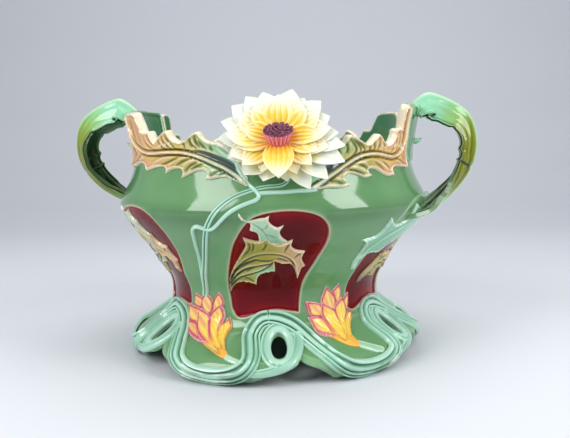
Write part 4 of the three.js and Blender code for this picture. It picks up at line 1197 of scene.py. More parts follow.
def rim_leaf(leaf):
    """Points, faces and tint of one rim leaf."""
    outline = rounded(drawn(leaf["outline"]), rounds=2, spacing=1.1)
    flat, faces = filled(outline, 1.15)
    heights = flat[:, 1]
    lines = [(line, high, wide, True) for key, high, wide in
             (("veins", 0.8, 0.8), ("gouges", -1.5, 0.95), ("curls", 1.2, 1.2)) for line in leaf[key]]
    rib = rounded(drawn(leaf["midrib"]), closed=False, spacing=1.2)
    rib_gap = nearest(flat, rib)[0]
    lift = 2.3 + 0.8 * np.clip((heights - RIM_HEIGHT) / 20, 0, 1) + relief(flat, lines)
    lift += 2.2 * bump(rib_gap, 0, 1.1) - 1.7 * bump(rib_gap, 2.6, 0.8)
    sunk = np.zeros(len(flat))
    for points in leaf["hollows"]:
        depth, mask = hollow(flat, points, 2.4)
        lift += depth * (rib_gap > 1.4)
        sunk = np.maximum(sunk, mask * (rib_gap > 1.2))
    edge_gap = nearest(flat, outline, closed=True)[0]
    lift += 0.9 * bump(edge_gap, 1.0, 0.8) - 0.5 * bump(edge_gap, 2.6, 0.8)
    outer, inner, gap = plate_edges(outline, flat, heights, lift.clip(0.6))
    degrees = flat[:, 0] / MM_PER_DEGREE
    tint = by_distance(degrees, leaf["tints"])
    tint = blended(tint, (206, 172, 56), 0.75 * bump(rib_gap, 4.2, 2.6) * (np.abs(degrees) > 22))
    tint = blended(tint, (246, 226, 196), 0.6 * bump(gap, 0.6, 1.0) + 0.55 * bump(rib_gap, 0, 1.0))
    carved = np.zeros(len(flat))
    for line in leaf["gouges"]:
        path = rounded(drawn(line), closed=False, rounds=2, spacing=1.5)
        line_gap, share, _ = nearest(flat, path)
        carved = np.maximum(carved, bump(line_gap, 0, 0.9) * np.sin(np.pi * share).clip(0, 1) ** 0.5)
    tan_end = np.clip((np.abs(degrees) - 34) / 14, 0, 1)
    groove = blended(flat_tint(flat, (74, 76, 8)), (190, 140, 42), tan_end)
    tint = blended(tint, groove, 0.85 * carved)
    tint = blended(tint, (24, 30, 26), 0.9 * bump(rib_gap, 2.4, 0.7) * (1 - 0.75 * tan_end))
    tint = blended(tint, (34, 38, 66), 0.95 * sunk)
    inside_tint = blended(flat_tint(flat, (52, 116, 70)), (150, 205, 160), bump(gap, 0, 1.2))
    return plate(flat, faces, outer, inner, tint, inside_tint)


RIM_LEAF_GLAZE = glaze("crest_leaf_glaze", (215, 170, 120), (250, 232, 206), (70, 62, 14), tinted=True,
                       drift=0.06, depth=0.65)
for side, leaf in (("left", LEFT_LEAF), ("right", RIGHT_LEAF)):
    names = "crest_leaf_{}_" + side, "rim_leaf_{}_" + side
    faces = twice(*names, FRONT_BACK, rim_leaf(leaf), RIM_LEAF_GLAZE, "rim_leaf_glaze")
    print(side, "rim leaves", faces, "faces")

# %% [markdown]
# ## End tabs
# Between the rim leaves a plain, rounded tab stands at each end. The handle springs from its outer face.
# A soft bead runs round its edge on both faces.

# %% End tabs
RIM_TAB = [
    (66.2, 184), (78, 186), (92, 186), (104.4, 187, 1), (105.3, 190), (105.3, 215), (105.2, 231, 1),
    (100, 238.6), (92, 240.6), (80, 241), (72, 240), (66.2, 239.5, 1), (66.2, 215)]
TAB_RIBS = (78, 84, 96, 101)     # degrees, where they fan out below the handle's root
HANDLE_ROOT = 226        # its height


def make_tabs():
    outline = rounded(drawn(RIM_TAB), rounds=3, spacing=1.4)
    flat, faces = filled(outline, 1.8)
    degrees, heights = flat[:, 0] / MM_PER_DEGREE, flat[:, 1]
    root = np.hypot(flat[:, 0] - 90 * MM_PER_DEGREE, heights - HANDLE_ROOT)
    gap = nearest(flat, outline, closed=True)[0]
    ribs = sum(bump(degrees, at + (at - 90) * (HANDLE_ROOT - heights) / 60, 0.9) for at in TAB_RIBS)
    lift = 2.2 + np.clip((heights - RIM_HEIGHT) / 20, 0, 1) + 0.5 * bump(gap, 1.3, 1.0)
    lift += 0.5 * ribs * (gap > 3) + 1.2 * bump(root, 0, 16)
    outer, inner, gap = plate_edges(outline, flat, heights, lift)
    free = np.clip((heights - RIM_HEIGHT - 1) / 3, 0, 1)
    inner = inner - free * 0.9 * bump(gap, 2.2, 1.4) + free * 0.8 * bump(gap, 5.5, 2.0)
    # The pale band along the tab's edge, on both faces, is a painted highlight; the pale patch round the
    # handle's root is the handle's mint.
    pale = 0.8 * bump(gap, 0, 1.4) + 0.5 * bump(root, 0, 13)
    tint = blended(flat_tint(flat, (78, 140, 84)), (160, 215, 170), pale)
    inside_tint = blended(flat_tint(flat, (46, 112, 62)), (140, 200, 150), 0.8 * bump(gap, 0, 1.3))
    body = plate(flat, faces, outer, inner, tint, inside_tint)
    return twice("end_tab_{}", "rim_tab_{}", RIGHT_LEFT, body, GREEN_TINTED, "green_glaze")


print("end tabs", make_tabs(), "faces")

# %% [markdown]
# ## Water lily
# The flower is a shallow bowl of petals that leans back against the rim. Broad white petals lie outside,
# ribbed yellow ones inside. A node tree sets a copy of one petal at every point, turned and sized by the
# numbers that the point carries, so that each petal has its own reach and direction.

# %% One petal
PETAL_LENGTH, PETAL_HALF_WIDTH = 50, 10
PETAL_HALF_WIDTHS = [
    (0, 3.6), (0.12, 4.9), (0.3, 7.4), (0.48, 9.5), (0.62, 10), (0.75, 8.9), (0.86, 6.2), (0.94, 3.1),
    (0.98, 1.3), (1, 0.5)]
PETAL_ROWS, PETAL_COLUMNS = 34, 21


def petal_mesh(name, ribs, rib_height, cup, arch):
    """A petal along x; each point carries its share of the length and its place across."""
    table = np.array(PETAL_HALF_WIDTHS)
    smooth = rounded([(s * 40, w) for s, w in table], closed=False, rounds=3, spacing=0.5)
    a = np.linspace(-1, 1, PETAL_COLUMNS)
    rings, shares, acrosses = [], [], []
    for s in np.linspace(0, 1, PETAL_ROWS) ** 0.85:
        half = np.interp(s * 40, smooth[:, 0], smooth[:, 1])
        middle = arch * math.sin(math.pi * s) - 0.25 * arch * s ** 4
        fade = math.sin(math.pi * min(1, s * 1.12)) ** 0.5 if s < 0.89 else 0
        top = middle + cup * half * (np.abs(a) ** 2.2 - 0.15) * (0.35 + 0.65 * s)
        top += rib_height * fade * np.cos(a * math.pi * ribs)
        top += 0.5 * np.exp(-((np.abs(a) - 0.93) / 0.06) ** 2) * (1 - s ** 6)
        thick = (3.2 - 1.6 * s) * (1 - 0.5 * a ** 2)
        upper = np.stack([np.full(len(a), s * PETAL_LENGTH), a * half, top], -1)
        lower = np.stack([np.full(len(a), s * PETAL_LENGTH), a * half * 0.97, top - thick], -1)
        rings.append(np.concatenate([upper, lower[::-1]]))
        shares.append(np.full(2 * len(a), s))
        acrosses.append(np.concatenate([a, a[::-1]]))
    points, faces = lofted(np.array(rings)[:, ::-1])
    marks = [("share", "FLOAT", shares), ("across", "FLOAT", np.array(acrosses)[:, ::-1])]
    return helper(name, points, faces, marks=marks)


print("petal points:", PETAL_ROWS * PETAL_COLUMNS * 2)

# %% The node tree that sets copies at points
def scatter_tree():
    """Sets a copy of one object at each point, by the point's own rotation and size."""
    inputs = [("Copied", "NodeSocketObject"), ("Glaze", "NodeSocketMaterial")]
    tree, source = new_tree("copies_at_points", inputs)
    add, link = tree.nodes.new, tree.links.new
    to_points, copies = add("GeometryNodeMeshToPoints"), add("GeometryNodeInstanceOnPoints")
    rotation, shape = add("FunctionNodeEulerToRotation"), add("GeometryNodeObjectInfo")
    link(source.outputs["Geometry"], to_points.inputs["Mesh"])
    link(to_points.outputs["Points"], copies.inputs["Points"])
    link(source.outputs["Copied"], shape.inputs["Object"])
    link(shape.outputs["Geometry"], copies.inputs["Instance"])
    link(carried(tree, "turn", "FLOAT_VECTOR"), rotation.inputs["Euler"])
    link(rotation.outputs["Rotation"], copies.inputs["Rotation"])
    link(carried(tree, "size", "FLOAT_VECTOR"), copies.inputs["Scale"])
    return glazed(tree, source, copies.outputs["Instances"])


def copies_at(places, turns, sizes, copied, material):
    """Points, faces, and marks of copies of one object, set at places (in millimetres)."""
    numbers = [("turn", "FLOAT_VECTOR", turns), ("size", "FLOAT_VECTOR", sizes)]
    holder = helper("places", places, marks=numbers)
    modifier = holder.modifiers.new("copies", "NODES")
    modifier.node_group = COPIES_TREE
    set_input(modifier, "Copied", copied)
    set_input(modifier, "Glaze", material)
    copied_mesh = evaluated(holder)
    points = np.array([v.co for v in copied_mesh.vertices]) / MM
    faces = [tuple(p.vertices) for p in copied_mesh.polygons]
    marks = {}
    for key in ("share", "across"):
        if key in copied_mesh.attributes:
            values = np.zeros(len(points), np.float32)
            copied_mesh.attributes[key].data.foreach_get("value", values)
            marks[key] = values
    bpy.data.objects.remove(holder)
    return points, faces, marks


COPIES_TREE = scatter_tree()
print("copies tree inputs:", [i.name for i in COPIES_TREE.interface.items_tree if i.in_out == "INPUT"])

# %% Places of the petals
LILY_CENTRE = np.array([15.0, -138.0, 208.0])
LILY_RIGHT = np.array([1.0, 0, 0])
LILY_UP = np.array([0, 0.53, 0.848])
LILY_AXIS = np.array([0, -0.848, 0.53])
# Each ring: height of its roots up the axis, rise of its petals, rise lost by the lowest, gained by the
# highest, and then every petal as (degrees round, reach, half width, roll).
OUTER_PETALS = {
    "root": -1,
    "rise": (8, 13, 5),
    "petals": [
        (4, 48.8, 10, 4), (351.5, 54.2, 10, -4), (338, 57, 10.5, 4), (318.5, 52.5, 10, -4),
        (300.5, 49.5, 9.5, 5), (281, 36, 10, 0), (250, 37, 13, 4), (226, 41, 13, -4), (201, 44.5, 12.5, 4),
        (180, 49.2, 11.5, -4), (162.5, 50.2, 11.5, 4), (143, 49.8, 12, -4), (126, 48, 11, 4),
        (108.5, 45.2, 11.5, -4), (91, 41, 11, 4), (76.5, 46.4, 12.5, -4), (60, 42.5, 10.5, 4),
        (43.5, 48, 12, -4), (24, 46, 12, 4)],
}
MIDDLE_PETALS = {
    "root": 0.6,
    "rise": (11.5, 9, 6),
    "petals": [
        (8, 43, 12, -4), (344.5, 42, 10.5, 4), (203, 42.5, 12.5, -4), (178, 43.6, 12.5, 4),
        (151, 39.5, 12.5, -4), (124, 36.5, 12, 4), (91.5, 36.5, 12.5, 0), (57, 36.5, 12.5, -4),
        (31, 39.5, 12, 4)],
}
INNER_PETALS = {
    "root": 1.8,
    "rise": (14, 9, 6),
    "petals": [
        (0, 34, 9.5, 3), (336, 35.5, 9, -3), (315, 37.5, 9, 3), (294, 37, 8.5, -3), (246.5, 34, 9.5, 3),
        (222, 38.5, 10, -3), (197, 35, 9.5, 3), (168, 30, 9.5, -3)],
}
FRONT_PETAL = {"root": 3, "rise": (25, 11, 8), "petals": [(271.5, 41.5, 12.6, 0)]}


def petal_ring(ring, petal, material, thick=1.0):
    places, turns, sizes = [], [], []
    low_rise, drop, gain = ring["rise"]
    for degrees, reach, half_width, roll in ring["petals"]:
        angle = math.radians(degrees)
        upward = math.sin(angle)
        rise = math.radians(low_rise - drop * max(0, -upward) + gain * max(0, upward))
        spoke = math.cos(angle) * LILY_RIGHT + upward * LILY_UP
        along = Vector(math.cos(rise) * spoke + math.sin(rise) * LILY_AXIS)
        facing = Vector(-math.sin(rise) * spoke + math.cos(rise) * LILY_AXIS)
        facing.rotate(Matrix.Rotation(math.radians(roll), 3, along))
        across = facing.cross(along)
        matrix = Matrix((along, across, facing)).transposed()
        places.append(LILY_CENTRE + ring["root"] * LILY_AXIS)
        turns.append(matrix.to_euler()[:])
        sizes.append((reach / PETAL_LENGTH, half_width / PETAL_HALF_WIDTH, thick))
    return copies_at(places, turns, sizes, petal, material)


print("petals:", sum(len(r["petals"]) for r in (OUTER_PETALS, MIDDLE_PETALS, INNER_PETALS, FRONT_PETAL)))

# %% The petals
WHITE = (230, 236, 229)
HEART_COLOURS = [        # distance from the heart, colour
    (12, (240, 168, 10)), (19, (246, 194, 14)), (26, (248, 206, 44)), (33, (246, 228, 130)), (39, WHITE)]
CALYX = [(-17.5, 4), (-15, 11), (-9, 16.5), (-2, 17), (2, 14)]   # height along the axis, radius
CALYX_GREEN = (150, 205, 160)


def petal_tint(points, marks, soft):
    """Yellow round the heart of the flower, white beyond it and at every tip, with darker flutes."""
    from_heart = points - LILY_CENTRE
    from_heart = from_heart - np.outer(from_heart @ LILY_AXIS, LILY_AXIS)
    reach = np.linalg.norm(from_heart, axis=1)
    upward = (from_heart @ LILY_UP) / reach.clip(1e-6)
    tint = by_distance(reach + 4.5 * upward.clip(0) - 2 * (-upward).clip(0), HEART_COLOURS)
    tint = blended(tint, WHITE, np.clip((marks["share"] - soft) / (1 - soft), 0, 1) ** 0.8)
    streak = 0.5 + 0.5 * np.cos(marks["across"] * 31 + 2 * marks["share"])
    tint = blended(tint, (252, 240, 190), 0.4 * streak * np.clip(marks["share"] * 2, 0, 1))
    edge = np.clip((np.abs(marks["across"]) - 0.78) / 0.2, 0, 1) * np.clip(marks["share"] * 1.6 - 0.2, 0, 1)
    return blended(tint, (250, 246, 214), 0.6 * edge)


def make_petals():
    smooth_petal = petal_mesh("smooth_petal", 3, 0.22, 0.14, 2.2)
    ribbed_petal = petal_mesh("ribbed_petal", 5, 0.42, 0.14, 2.4)
    front_petal = petal_mesh("front_petal", 6, 0.55, 0.04, 4.6)

    def tinted_ring(ring, petal, soft, material):
        points, faces, marks = petal_ring(ring, petal, material)
        return points, faces, petal_tint(points, marks, soft)

    rows = [(LILY_CENTRE + height * LILY_AXIS, radius) for height, radius in CALYX]
    cup, cup_faces = round_body(rows, LILY_RIGHT, LILY_UP, 40)
    outer = joined([tinted_ring(OUTER_PETALS, smooth_petal, 0.5, WHITE_PETAL),
                    (cup, cup_faces, flat_tint(cup, CALYX_GREEN))])
    inner = joined([tinted_ring(MIDDLE_PETALS, ribbed_petal, 0.58, YELLOW_PETAL),
                    tinted_ring(INNER_PETALS, ribbed_petal, 0.64, YELLOW_PETAL),
                    tinted_ring(FRONT_PETAL, front_petal, 0.62, YELLOW_PETAL)])
    for obj in (smooth_petal, ribbed_petal, front_petal):
        bpy.data.objects.remove(obj)
    twice("lily_white_petals_{}", "lily_outer_petals_{}", FRONT_BACK, outer, WHITE_PETAL, "white_glaze", 70)
    twice("lily_yellow_petals_{}", "lily_inner_petals_{}", FRONT_BACK, inner, YELLOW_PETAL,
          "yellow_glaze", 70)
    return len(outer[1]), len(inner[1])


# The deep colour of the white petals, grey-green in their hollows, is painted shade as well as pooled glaze.
WHITE_PETAL = glaze("white_petal_glaze", WHITE, (232, 238, 228), (186, 202, 182), tinted=True, drift=0.12,
                    depth=0.7, roughness=0.12, gloss=(0.35, 0.3))
YELLOW_PETAL = glaze("yellow_petal_glaze", (253, 214, 62), (253, 244, 200), (232, 150, 6), tinted=True,
                     drift=0.08, depth=0.6, roughness=0.12, gloss=(0.35, 0.3), thin=0.3)
print("lily faces", make_petals())

# %% [markdown]
# ## Seed head
# A receptacle that widens upwards, striped by its stamens, under a knobbly plum-brown top.

# %% Seed head
SEED_FOOT = np.array([15.0, -145.5, 205.0])
SEED_TOP = np.array([15.0, -150.5, 216.0])
SEED_RADIUS = 12.8
SEED_AXIS = (SEED_TOP - SEED_FOOT) / np.linalg.norm(SEED_TOP - SEED_FOOT)
SEED_RIGHT = np.array([1.0, 0, 0])
SEED_BACK = np.cross(SEED_AXIS, SEED_RIGHT)
STAMENS = 34
STAMEN_LENGTH = 15
STAMEN_ROWS = [(0, 0.5), (0.15, 0.75), (0.5, 0.95), (0.85, 1.15), (0.97, 0.9), (1.0, 0.4)]   # share, radius
CORE_ROWS = [(0, 6.0), (0.5, 8.6), (0.9, 11.0), (1.0, 10.6)]                  # share of the height, radius
KNOBS = 46
KNOB_ROWS = [(-0.7, 0.7), (-0.2, 1.0), (0.3, 0.95), (0.7, 0.65), (0.92, 0.3)]  # height, radius
LID_ROWS = [(-1.2, 11.2), (0.2, 12.2), (0.8, 11.6), (2.2, 7), (2.8, 3)]        # height above the top, radius
GOLDEN_ANGLE = 2.39996   # radians, as the seeds of a sunflower follow each other


def spoke(angle):
    return math.cos(angle) * SEED_RIGHT + math.sin(angle) * SEED_BACK


def make_fringe():
    """Stamens, red and pale by turns, that lean outwards round a smooth core."""
    rows = [((share * STAMEN_LENGTH, 0, 0), radius) for share, radius in STAMEN_ROWS]
    stamen = helper("stamen", *round_body(rows, (0, 1, 0), (0, 0, 1), 8))
    places, turns, sizes = [], [], []
    for i in range(STAMENS):
        outward = spoke(2 * math.pi * i / STAMENS)
        low, high = SEED_FOOT + outward * 6.4, SEED_TOP + outward * (SEED_RADIUS - 1.4)
        turns.append(Vector(high - low).to_track_quat("X", "Z").to_euler()[:])
        places.append(low)
        sizes.append((np.linalg.norm(high - low) / STAMEN_LENGTH, 0.95, 0.95))
    points, faces, _ = copies_at(places, turns, sizes, stamen, PINK_GLAZE)
    bpy.data.objects.remove(stamen)
    pale = np.repeat(np.arange(STAMENS) % 2, len(points) // STAMENS)
    tint = blended(flat_tint(points, (200, 20, 56)), (250, 196, 200), pale)
    rows = [(SEED_FOOT + (SEED_TOP - SEED_FOOT) * share, radius) for share, radius in CORE_ROWS]
    core, core_faces = round_body(rows, SEED_RIGHT, SEED_BACK, 40)
    return joined([(points, faces, tint), (core, core_faces, flat_tint(core, (206, 40, 64)))])


def make_seeds():
    """A domed lid packed with small knobs of uneven size."""
    knob = helper("knob", *round_body([((0, 0, z), r) for z, r in KNOB_ROWS], (1, 0, 0), (0, 1, 0), 10))
    places, turns, sizes = [], [], []
    for i in range(KNOBS):
        reach = (SEED_RADIUS - 1.6) * math.sqrt((i + 0.5) / KNOBS)
        outward = spoke(i * GOLDEN_ANGLE + rng.uniform(-0.12, 0.12))
        dome = 2.8 * (1 - (reach / SEED_RADIUS) ** 2) + rng.uniform(-0.3, 0.5)
        places.append(SEED_TOP + SEED_AXIS * dome + reach * outward)
        lean = Vector(SEED_AXIS + 0.35 * (reach / SEED_RADIUS) * outward)
        turns.append(lean.to_track_quat("Z", "Y").to_euler()[:])
        size = rng.uniform(1.25, 1.75)
        sizes.append((size, size, size * rng.uniform(1.0, 1.4)))
    points, faces, _ = copies_at(places, turns, sizes, knob, PLUM_GLAZE)
    bpy.data.objects.remove(knob)
    shade = np.repeat(rng.uniform(0, 1, KNOBS), len(points) // KNOBS)
    tint = blended(flat_tint(points, (74, 14, 34)), (140, 66, 98), 0.5 * shade)
    rows = [(SEED_TOP + SEED_AXIS * height, radius) for height, radius in LID_ROWS]
    lid, lid_faces = round_body(rows, SEED_RIGHT, SEED_BACK, 40)
    return joined([(points, faces, tint), (lid, lid_faces, flat_tint(lid, (44, 12, 24)))])


PINK_GLAZE = glaze("stamen_glaze", (206, 26, 62), (236, 120, 140), (130, 6, 30), tinted=True, drift=0.1,
                   depth=0.6, gloss=(0.3, 0.25))
PLUM_GLAZE = glaze("seed_glaze", (74, 14, 34), (126, 60, 88), (24, 2, 8), tinted=True, drift=0.2,
                   gloss=(0.25, 0.2))
twice("lily_stamen_fringe_{}", "lily_stamens_{}", FRONT_BACK, make_fringe(), PINK_GLAZE, "pink_glaze")
twice("lily_seeds_{}", "lily_seed_head_{}", FRONT_BACK, make_seeds(), PLUM_GLAZE, "plum_glaze")
print("stamens", STAMENS, "knobs", KNOBS)

# %% [markdown]
# ## Buds
# Beside each of the two main windows a half-open bud lies on either side. Its petals overlap like
# scales: each is a small plate with a raised pale edge, a magenta line inside the edge and a yellow middle.

# %% Drawing of the buds
BUD_LEFT = {
    "base": [
        (-33.8, 32.2), (-27, 29.1), (-22, 26.2), (-17.9, 23.4), (-15.3, 22.1), (-14, 22.8), (-14.5, 25.4),
        (-16.4, 28), (-17.9, 31.8), (-22.6, 38), (-27.1, 42), (-31.3, 41.1), (-34.1, 38.3)],
    "foot": (-15.5, 23.5),
    "stalk": [
        (-16.2, 26.4), (-12.8, 23.8), (-9.6, 22.5), (-6, 21.4), (-3.6, 19.5), (-4.2, 17.2), (-9.1, 18.3),
        (-12.7, 20.2), (-16.2, 22.4)],
    "petals": [
        (1.5, [
            (-40.6, 68.8, 1), (-41.9, 62.7), (-41.9, 57.8), (-39.7, 55.5), (-36.6, 54.5), (-34.9, 60.7),
            (-35, 65.3), (-37.8, 67.1)]),
        (2.1, [
            (-32.4, 71, 1), (-34.8, 67.2), (-36.3, 62.5), (-35.8, 57.2), (-34.2, 52), (-30.3, 49.8),
            (-28.6, 55.4), (-28.3, 61.2), (-29, 64.8), (-30.3, 68.3)]),
        (2, [
            (-24.5, 73.4, 1), (-26.8, 69), (-28.3, 64.4), (-29.1, 56.4), (-29.8, 50.2), (-26.8, 54.9),
            (-24, 57.6), (-22.4, 59.6), (-21.8, 64.3), (-22.4, 67.9), (-23.4, 71)]),
        (2.5, [
            (-46.4, 57.4, 1), (-45.5, 51.9), (-45.2, 46.6), (-43.2, 42.5), (-38.6, 40.6), (-35.8, 42.4),
            (-35.8, 47.5), (-36.6, 53.9), (-38.2, 55.4), (-42, 56)]),
        (2.9, [
            (-44.6, 42.4, 1), (-41.9, 38.2), (-38.8, 34.5), (-35.4, 32.4), (-32, 30.9), (-26.2, 29.3),
            (-28.7, 33.6), (-32.6, 36.5), (-34.6, 40.6), (-36.1, 42.5), (-39.5, 42.8)]),
        (2.9, [
            (-18.7, 50.8, 1), (-20.2, 46.7), (-22.4, 43.9), (-23.4, 40.9), (-23.2, 37), (-21.4, 32.6),
            (-18.4, 28.9), (-15.3, 25.5), (-16.9, 30.3), (-18.1, 33.4), (-18.2, 36.8), (-17.3, 39.8),
            (-16.7, 42.7), (-17.5, 46.5)]),
        (3.7, [
            (-23.9, 62, 1), (-26.8, 57.2), (-28.8, 52.6), (-29.6, 47.7), (-28.4, 40.8), (-26.4, 34.7),
            (-22.9, 29.6), (-18, 25.8), (-17.4, 28.3), (-20.8, 33.8), (-22.2, 39), (-22.3, 43.8),
            (-21.5, 48.1), (-21.3, 52.7), (-22.1, 57.4)]),
        (3.9, [
            (-37.2, 55.3, 1), (-37.3, 50.3), (-36.6, 44.9), (-35.6, 40.1), (-33.2, 35.2), (-29.5, 31.5),
            (-25, 28.6), (-19.5, 24.8), (-16.5, 23.6), (-19.6, 27.4), (-23, 30.9), (-26.2, 37.2),
            (-28.4, 43.6), (-29.2, 48.2), (-31, 52.2), (-33.8, 54)])],
}
BUD_RIGHT = {
    "base": [
        (22.3, 36.3), (26, 34.2), (28.9, 32), (31.3, 28.8), (33.8, 26), (36.9, 24.4), (38.9, 25),
        (38.6, 28.3), (37.9, 31.4), (38.3, 34.8), (38.7, 43.4), (33.6, 49.5), (28.6, 48.6), (25.4, 41.3)],
    "foot": (37.6, 25.6),
    "stalk": [
        (37.2, 29.6), (40.4, 27.8), (44.5, 23.9), (48.4, 20.6), (46.4, 16.6), (43, 18.4), (40, 21.8),
        (36.6, 24.8)],
    "petals": [
        (0.9, [
            (17, 66.2, 1), (18, 61.7), (18.6, 57.2), (19.9, 51.7), (21.6, 50), (20.6, 56.4), (19.4, 61.6)]),
        (1.5, [
            (35.8, 78.8, 1), (34.1, 74.8), (32.2, 71.7), (33.8, 66.7), (34.6, 61), (35.9, 58.6), (38, 63),
            (38.6, 67.4), (37.9, 72.6)]),
        (1.6, [
            (43.1, 68, 1), (41.1, 65.5), (39.8, 62.6), (39.9, 57.8), (40.4, 53), (41.6, 48.6), (43, 53.7),
            (43.6, 59.2), (43.6, 64)]),
        (2.1, [
            (28.6, 78.2, 1), (27.8, 72.4), (26.8, 66.6), (26.5, 61.5), (28.3, 57.8), (30.6, 55.1),
            (33.4, 51.6), (34.6, 57.3), (35.2, 61.1), (34.5, 66.1), (32.6, 70.9), (30.5, 74.6)]),
        (2.3, [
            (18.6, 64.7, 1), (19.6, 59.8), (20.2, 55.8), (20.6, 51.2), (22.8, 49.2), (26.7, 48.5),
            (27.6, 54.6), (27.1, 60.5), (25.3, 62.3), (22, 63.9)]),
        (2.9, [
            (19.2, 49.8, 1), (20.6, 45.4), (21, 42), (21.6, 38.5), (23.3, 35.4), (26.1, 33.9), (30.2, 32.2),
            (28.9, 38.8), (28, 43.7), (27.4, 46.8), (25.3, 49.7), (22.8, 50.3)]),
        (2.8, [
            (43.9, 50.9, 1), (41.4, 50.6), (39.9, 47.5), (37.9, 43.9), (36.1, 39.5), (35.2, 33.6),
            (36.6, 29.8), (39, 35.8), (40.4, 39.4), (42.6, 42.7), (44.6, 46)]),
        (3.4, [
            (38.3, 65.2, 1), (35.8, 61.5), (34, 58.4), (33.2, 54), (33.8, 48.8), (34.1, 43), (34.1, 38.2),
            (34.5, 31.1), (36.7, 35.6), (37.7, 41), (39.2, 44.7), (40.9, 48.6), (41.1, 54.3), (40.2, 59.9)]),
        (3.9, [
            (26.6, 62.9, 1), (26.2, 56.3), (26.2, 51.3), (26.8, 46.7), (27.7, 42.1), (29, 37.1),
            (30.9, 31.4), (33.4, 28), (34.4, 33.7), (34.8, 38.2), (34.8, 42.5), (34.5, 48.9), (34.2, 53.8),
            (31.3, 57.9), (29, 60.2)])],
}


def wall_plate(outline, spacing, shape, sunk=-0.9):
    """A plate on the wall. shape(flat points, distance to the edge) gives its lift and its colours."""
    edge = rounded(drawn(outline), rounds=2, spacing=spacing)
    flat, faces = filled(edge, spacing)
    gap = nearest(flat, edge, closed=True)[0]
    lift, tint = shape(flat, gap)
    return plate(flat, faces, lift, sunk, tint)


BUD_MIDDLE = [           # distance from the bud's foot, colour
    (2, (244, 184, 40)), (14, (250, 204, 40)), (26, (253, 226, 90)), (44, (252, 226, 120))]
BUD_RIM = [              # distance from a petal's edge, colour
    (0, (250, 190, 196)), (0.35, (246, 170, 182)), (0.65, (186, 24, 80)), (1.25, (204, 50, 100)),
    (1.9, (236, 120, 120)), (2.7, (252, 200, 100)), (3.4, (252, 214, 90))]
BUD_BASE = [(4, (240, 178, 60)), (16, (248, 196, 50)), (24, (236, 150, 60)), (32, (190, 40, 90))]


def make_bud(bud):
    foot = np.array(drawn([bud["foot"]])[0])

    def petal_shape(level):
        def shape(flat, gap):
            away = np.linalg.norm(flat - foot, axis=1)
            tip = np.clip((away - 15) / 13, 0, 1)
            angle = np.arctan2(flat[:, 1] - foot[1], flat[:, 0] - foot[0])
            lift = level + 0.3 - np.exp(-gap / 2.4) + 0.6 * bump(gap, 0.5, 0.4) - 0.4 * bump(gap, 1.4, 0.5)
            flutes = np.cos(angle * 34) * np.clip((38 - away) / 16, 0, 1) * np.clip((gap - 0.8) / 1.2, 0, 1)
            lift += 0.32 * flutes - 0.8 * np.clip(1 - gap / 0.4, 0, 1)
            tint = by_distance(away, BUD_MIDDLE)
            tint = blended(tint, (255, 244, 190), 0.5 * np.clip(np.cos(angle * 34), 0, 1) * (1 - tip))
            wash = 0.55 * np.clip((away - 26) / 12, 0, 1) * (0.5 + 0.5 * np.cos(angle * 40))
            tint = blended(tint, (238, 120, 120), wash)
            tint = blended(tint, (214, 128, 40), 0.6 * np.clip((0.9 - gap) / 0.5, 0, 1) * (1 - tip))
            return lift, blended(tint, by_distance(gap, BUD_RIM), tip * np.clip((3.6 - gap) / 1.2, 0, 1))
        return shape

    def base_shape(flat, gap):
        tint = by_distance(np.linalg.norm(flat - foot, axis=1), BUD_BASE)
        return 1.0 + 1.3 * (1 - np.exp(-gap / 2.2)), tint

    def stalk_shape(flat, gap):
        lift = 0.5 + 1.2 * (1 - np.exp(-gap / 0.8)) - 0.6 * bump(gap, 2.0, 0.4)
        return lift, blended(flat_tint(flat, (146, 204, 170)), (206, 236, 210), bump(gap, 1.0, 0.5))

    parts = [wall_plate(bud["base"], 1.1, base_shape), wall_plate(bud["stalk"], 0.9, stalk_shape)]
    parts += [wall_plate(outline, 0.85, petal_shape(level)) for level, outline in bud["petals"]]
    return joined(parts)


BUD_GLAZE = glaze("bud_petal_glaze", (253, 214, 70), (255, 226, 190), (196, 50, 60), tinted=True, drift=0.04,
                  depth=0.22, gloss=(0.4, 0.35), thin=0.12)
for side, bud in (("left", BUD_LEFT), ("right", BUD_RIGHT)):
    names = "half_open_bud_{}_" + side, "bud_{}_" + side
    print(side, "buds", twice(*names, FRONT_BACK, make_bud(bud), BUD_GLAZE, "bud_glaze"), "faces")

# %% [markdown]
# ## Leaves in the windows
# In each window a spiny olive leaf arches over from the left, with a smaller one below it and a mint one
# that hangs from the window's edge. The windows that a handle's tail crosses have a lower, smaller one.

# %% Drawing of the window leaves
OLIVE_LEAF = [
    (-17.2, 85.7), (-14.8, 94.9), (-12.4, 102), (-9.5, 110), (-7.1, 116.9), (-5.9, 121.7), (-6.6, 128.3, 1),
    (-5.1, 126.4), (-3.8, 125.4), (-1.8, 124.1), (-0.5, 125.1), (1.3, 129, 1), (2.2, 125.2), (3.5, 123),
    (4.9, 121.5), (6.2, 121.4), (7.9, 122.7), (10.2, 125.4, 1), (9.7, 120.1), (10.5, 117.2), (12.1, 114.9),
    (15.3, 113.9, 1), (14.4, 109), (14.8, 105.1), (16.4, 100, 1), (14.9, 98.3), (14.5, 94), (13.8, 87.6, 1),
    (12.7, 93.7), (11.9, 98.7), (10.8, 101.7), (9.1, 103.8), (7.2, 103), (5.6, 104), (4.1, 105.9),
    (3.7, 105.1), (4, 100.3), (4, 95.6, 1), (1.5, 95.3), (-1, 94.2), (-2.7, 92.2), (-3.9, 88.4),
    (-4.6, 82.4, 1), (-6.7, 84.4), (-8.9, 85.3), (-11.1, 85.5), (-13.6, 83.8), (-16.1, 79.6),
    (-18, 74.3, 1)]
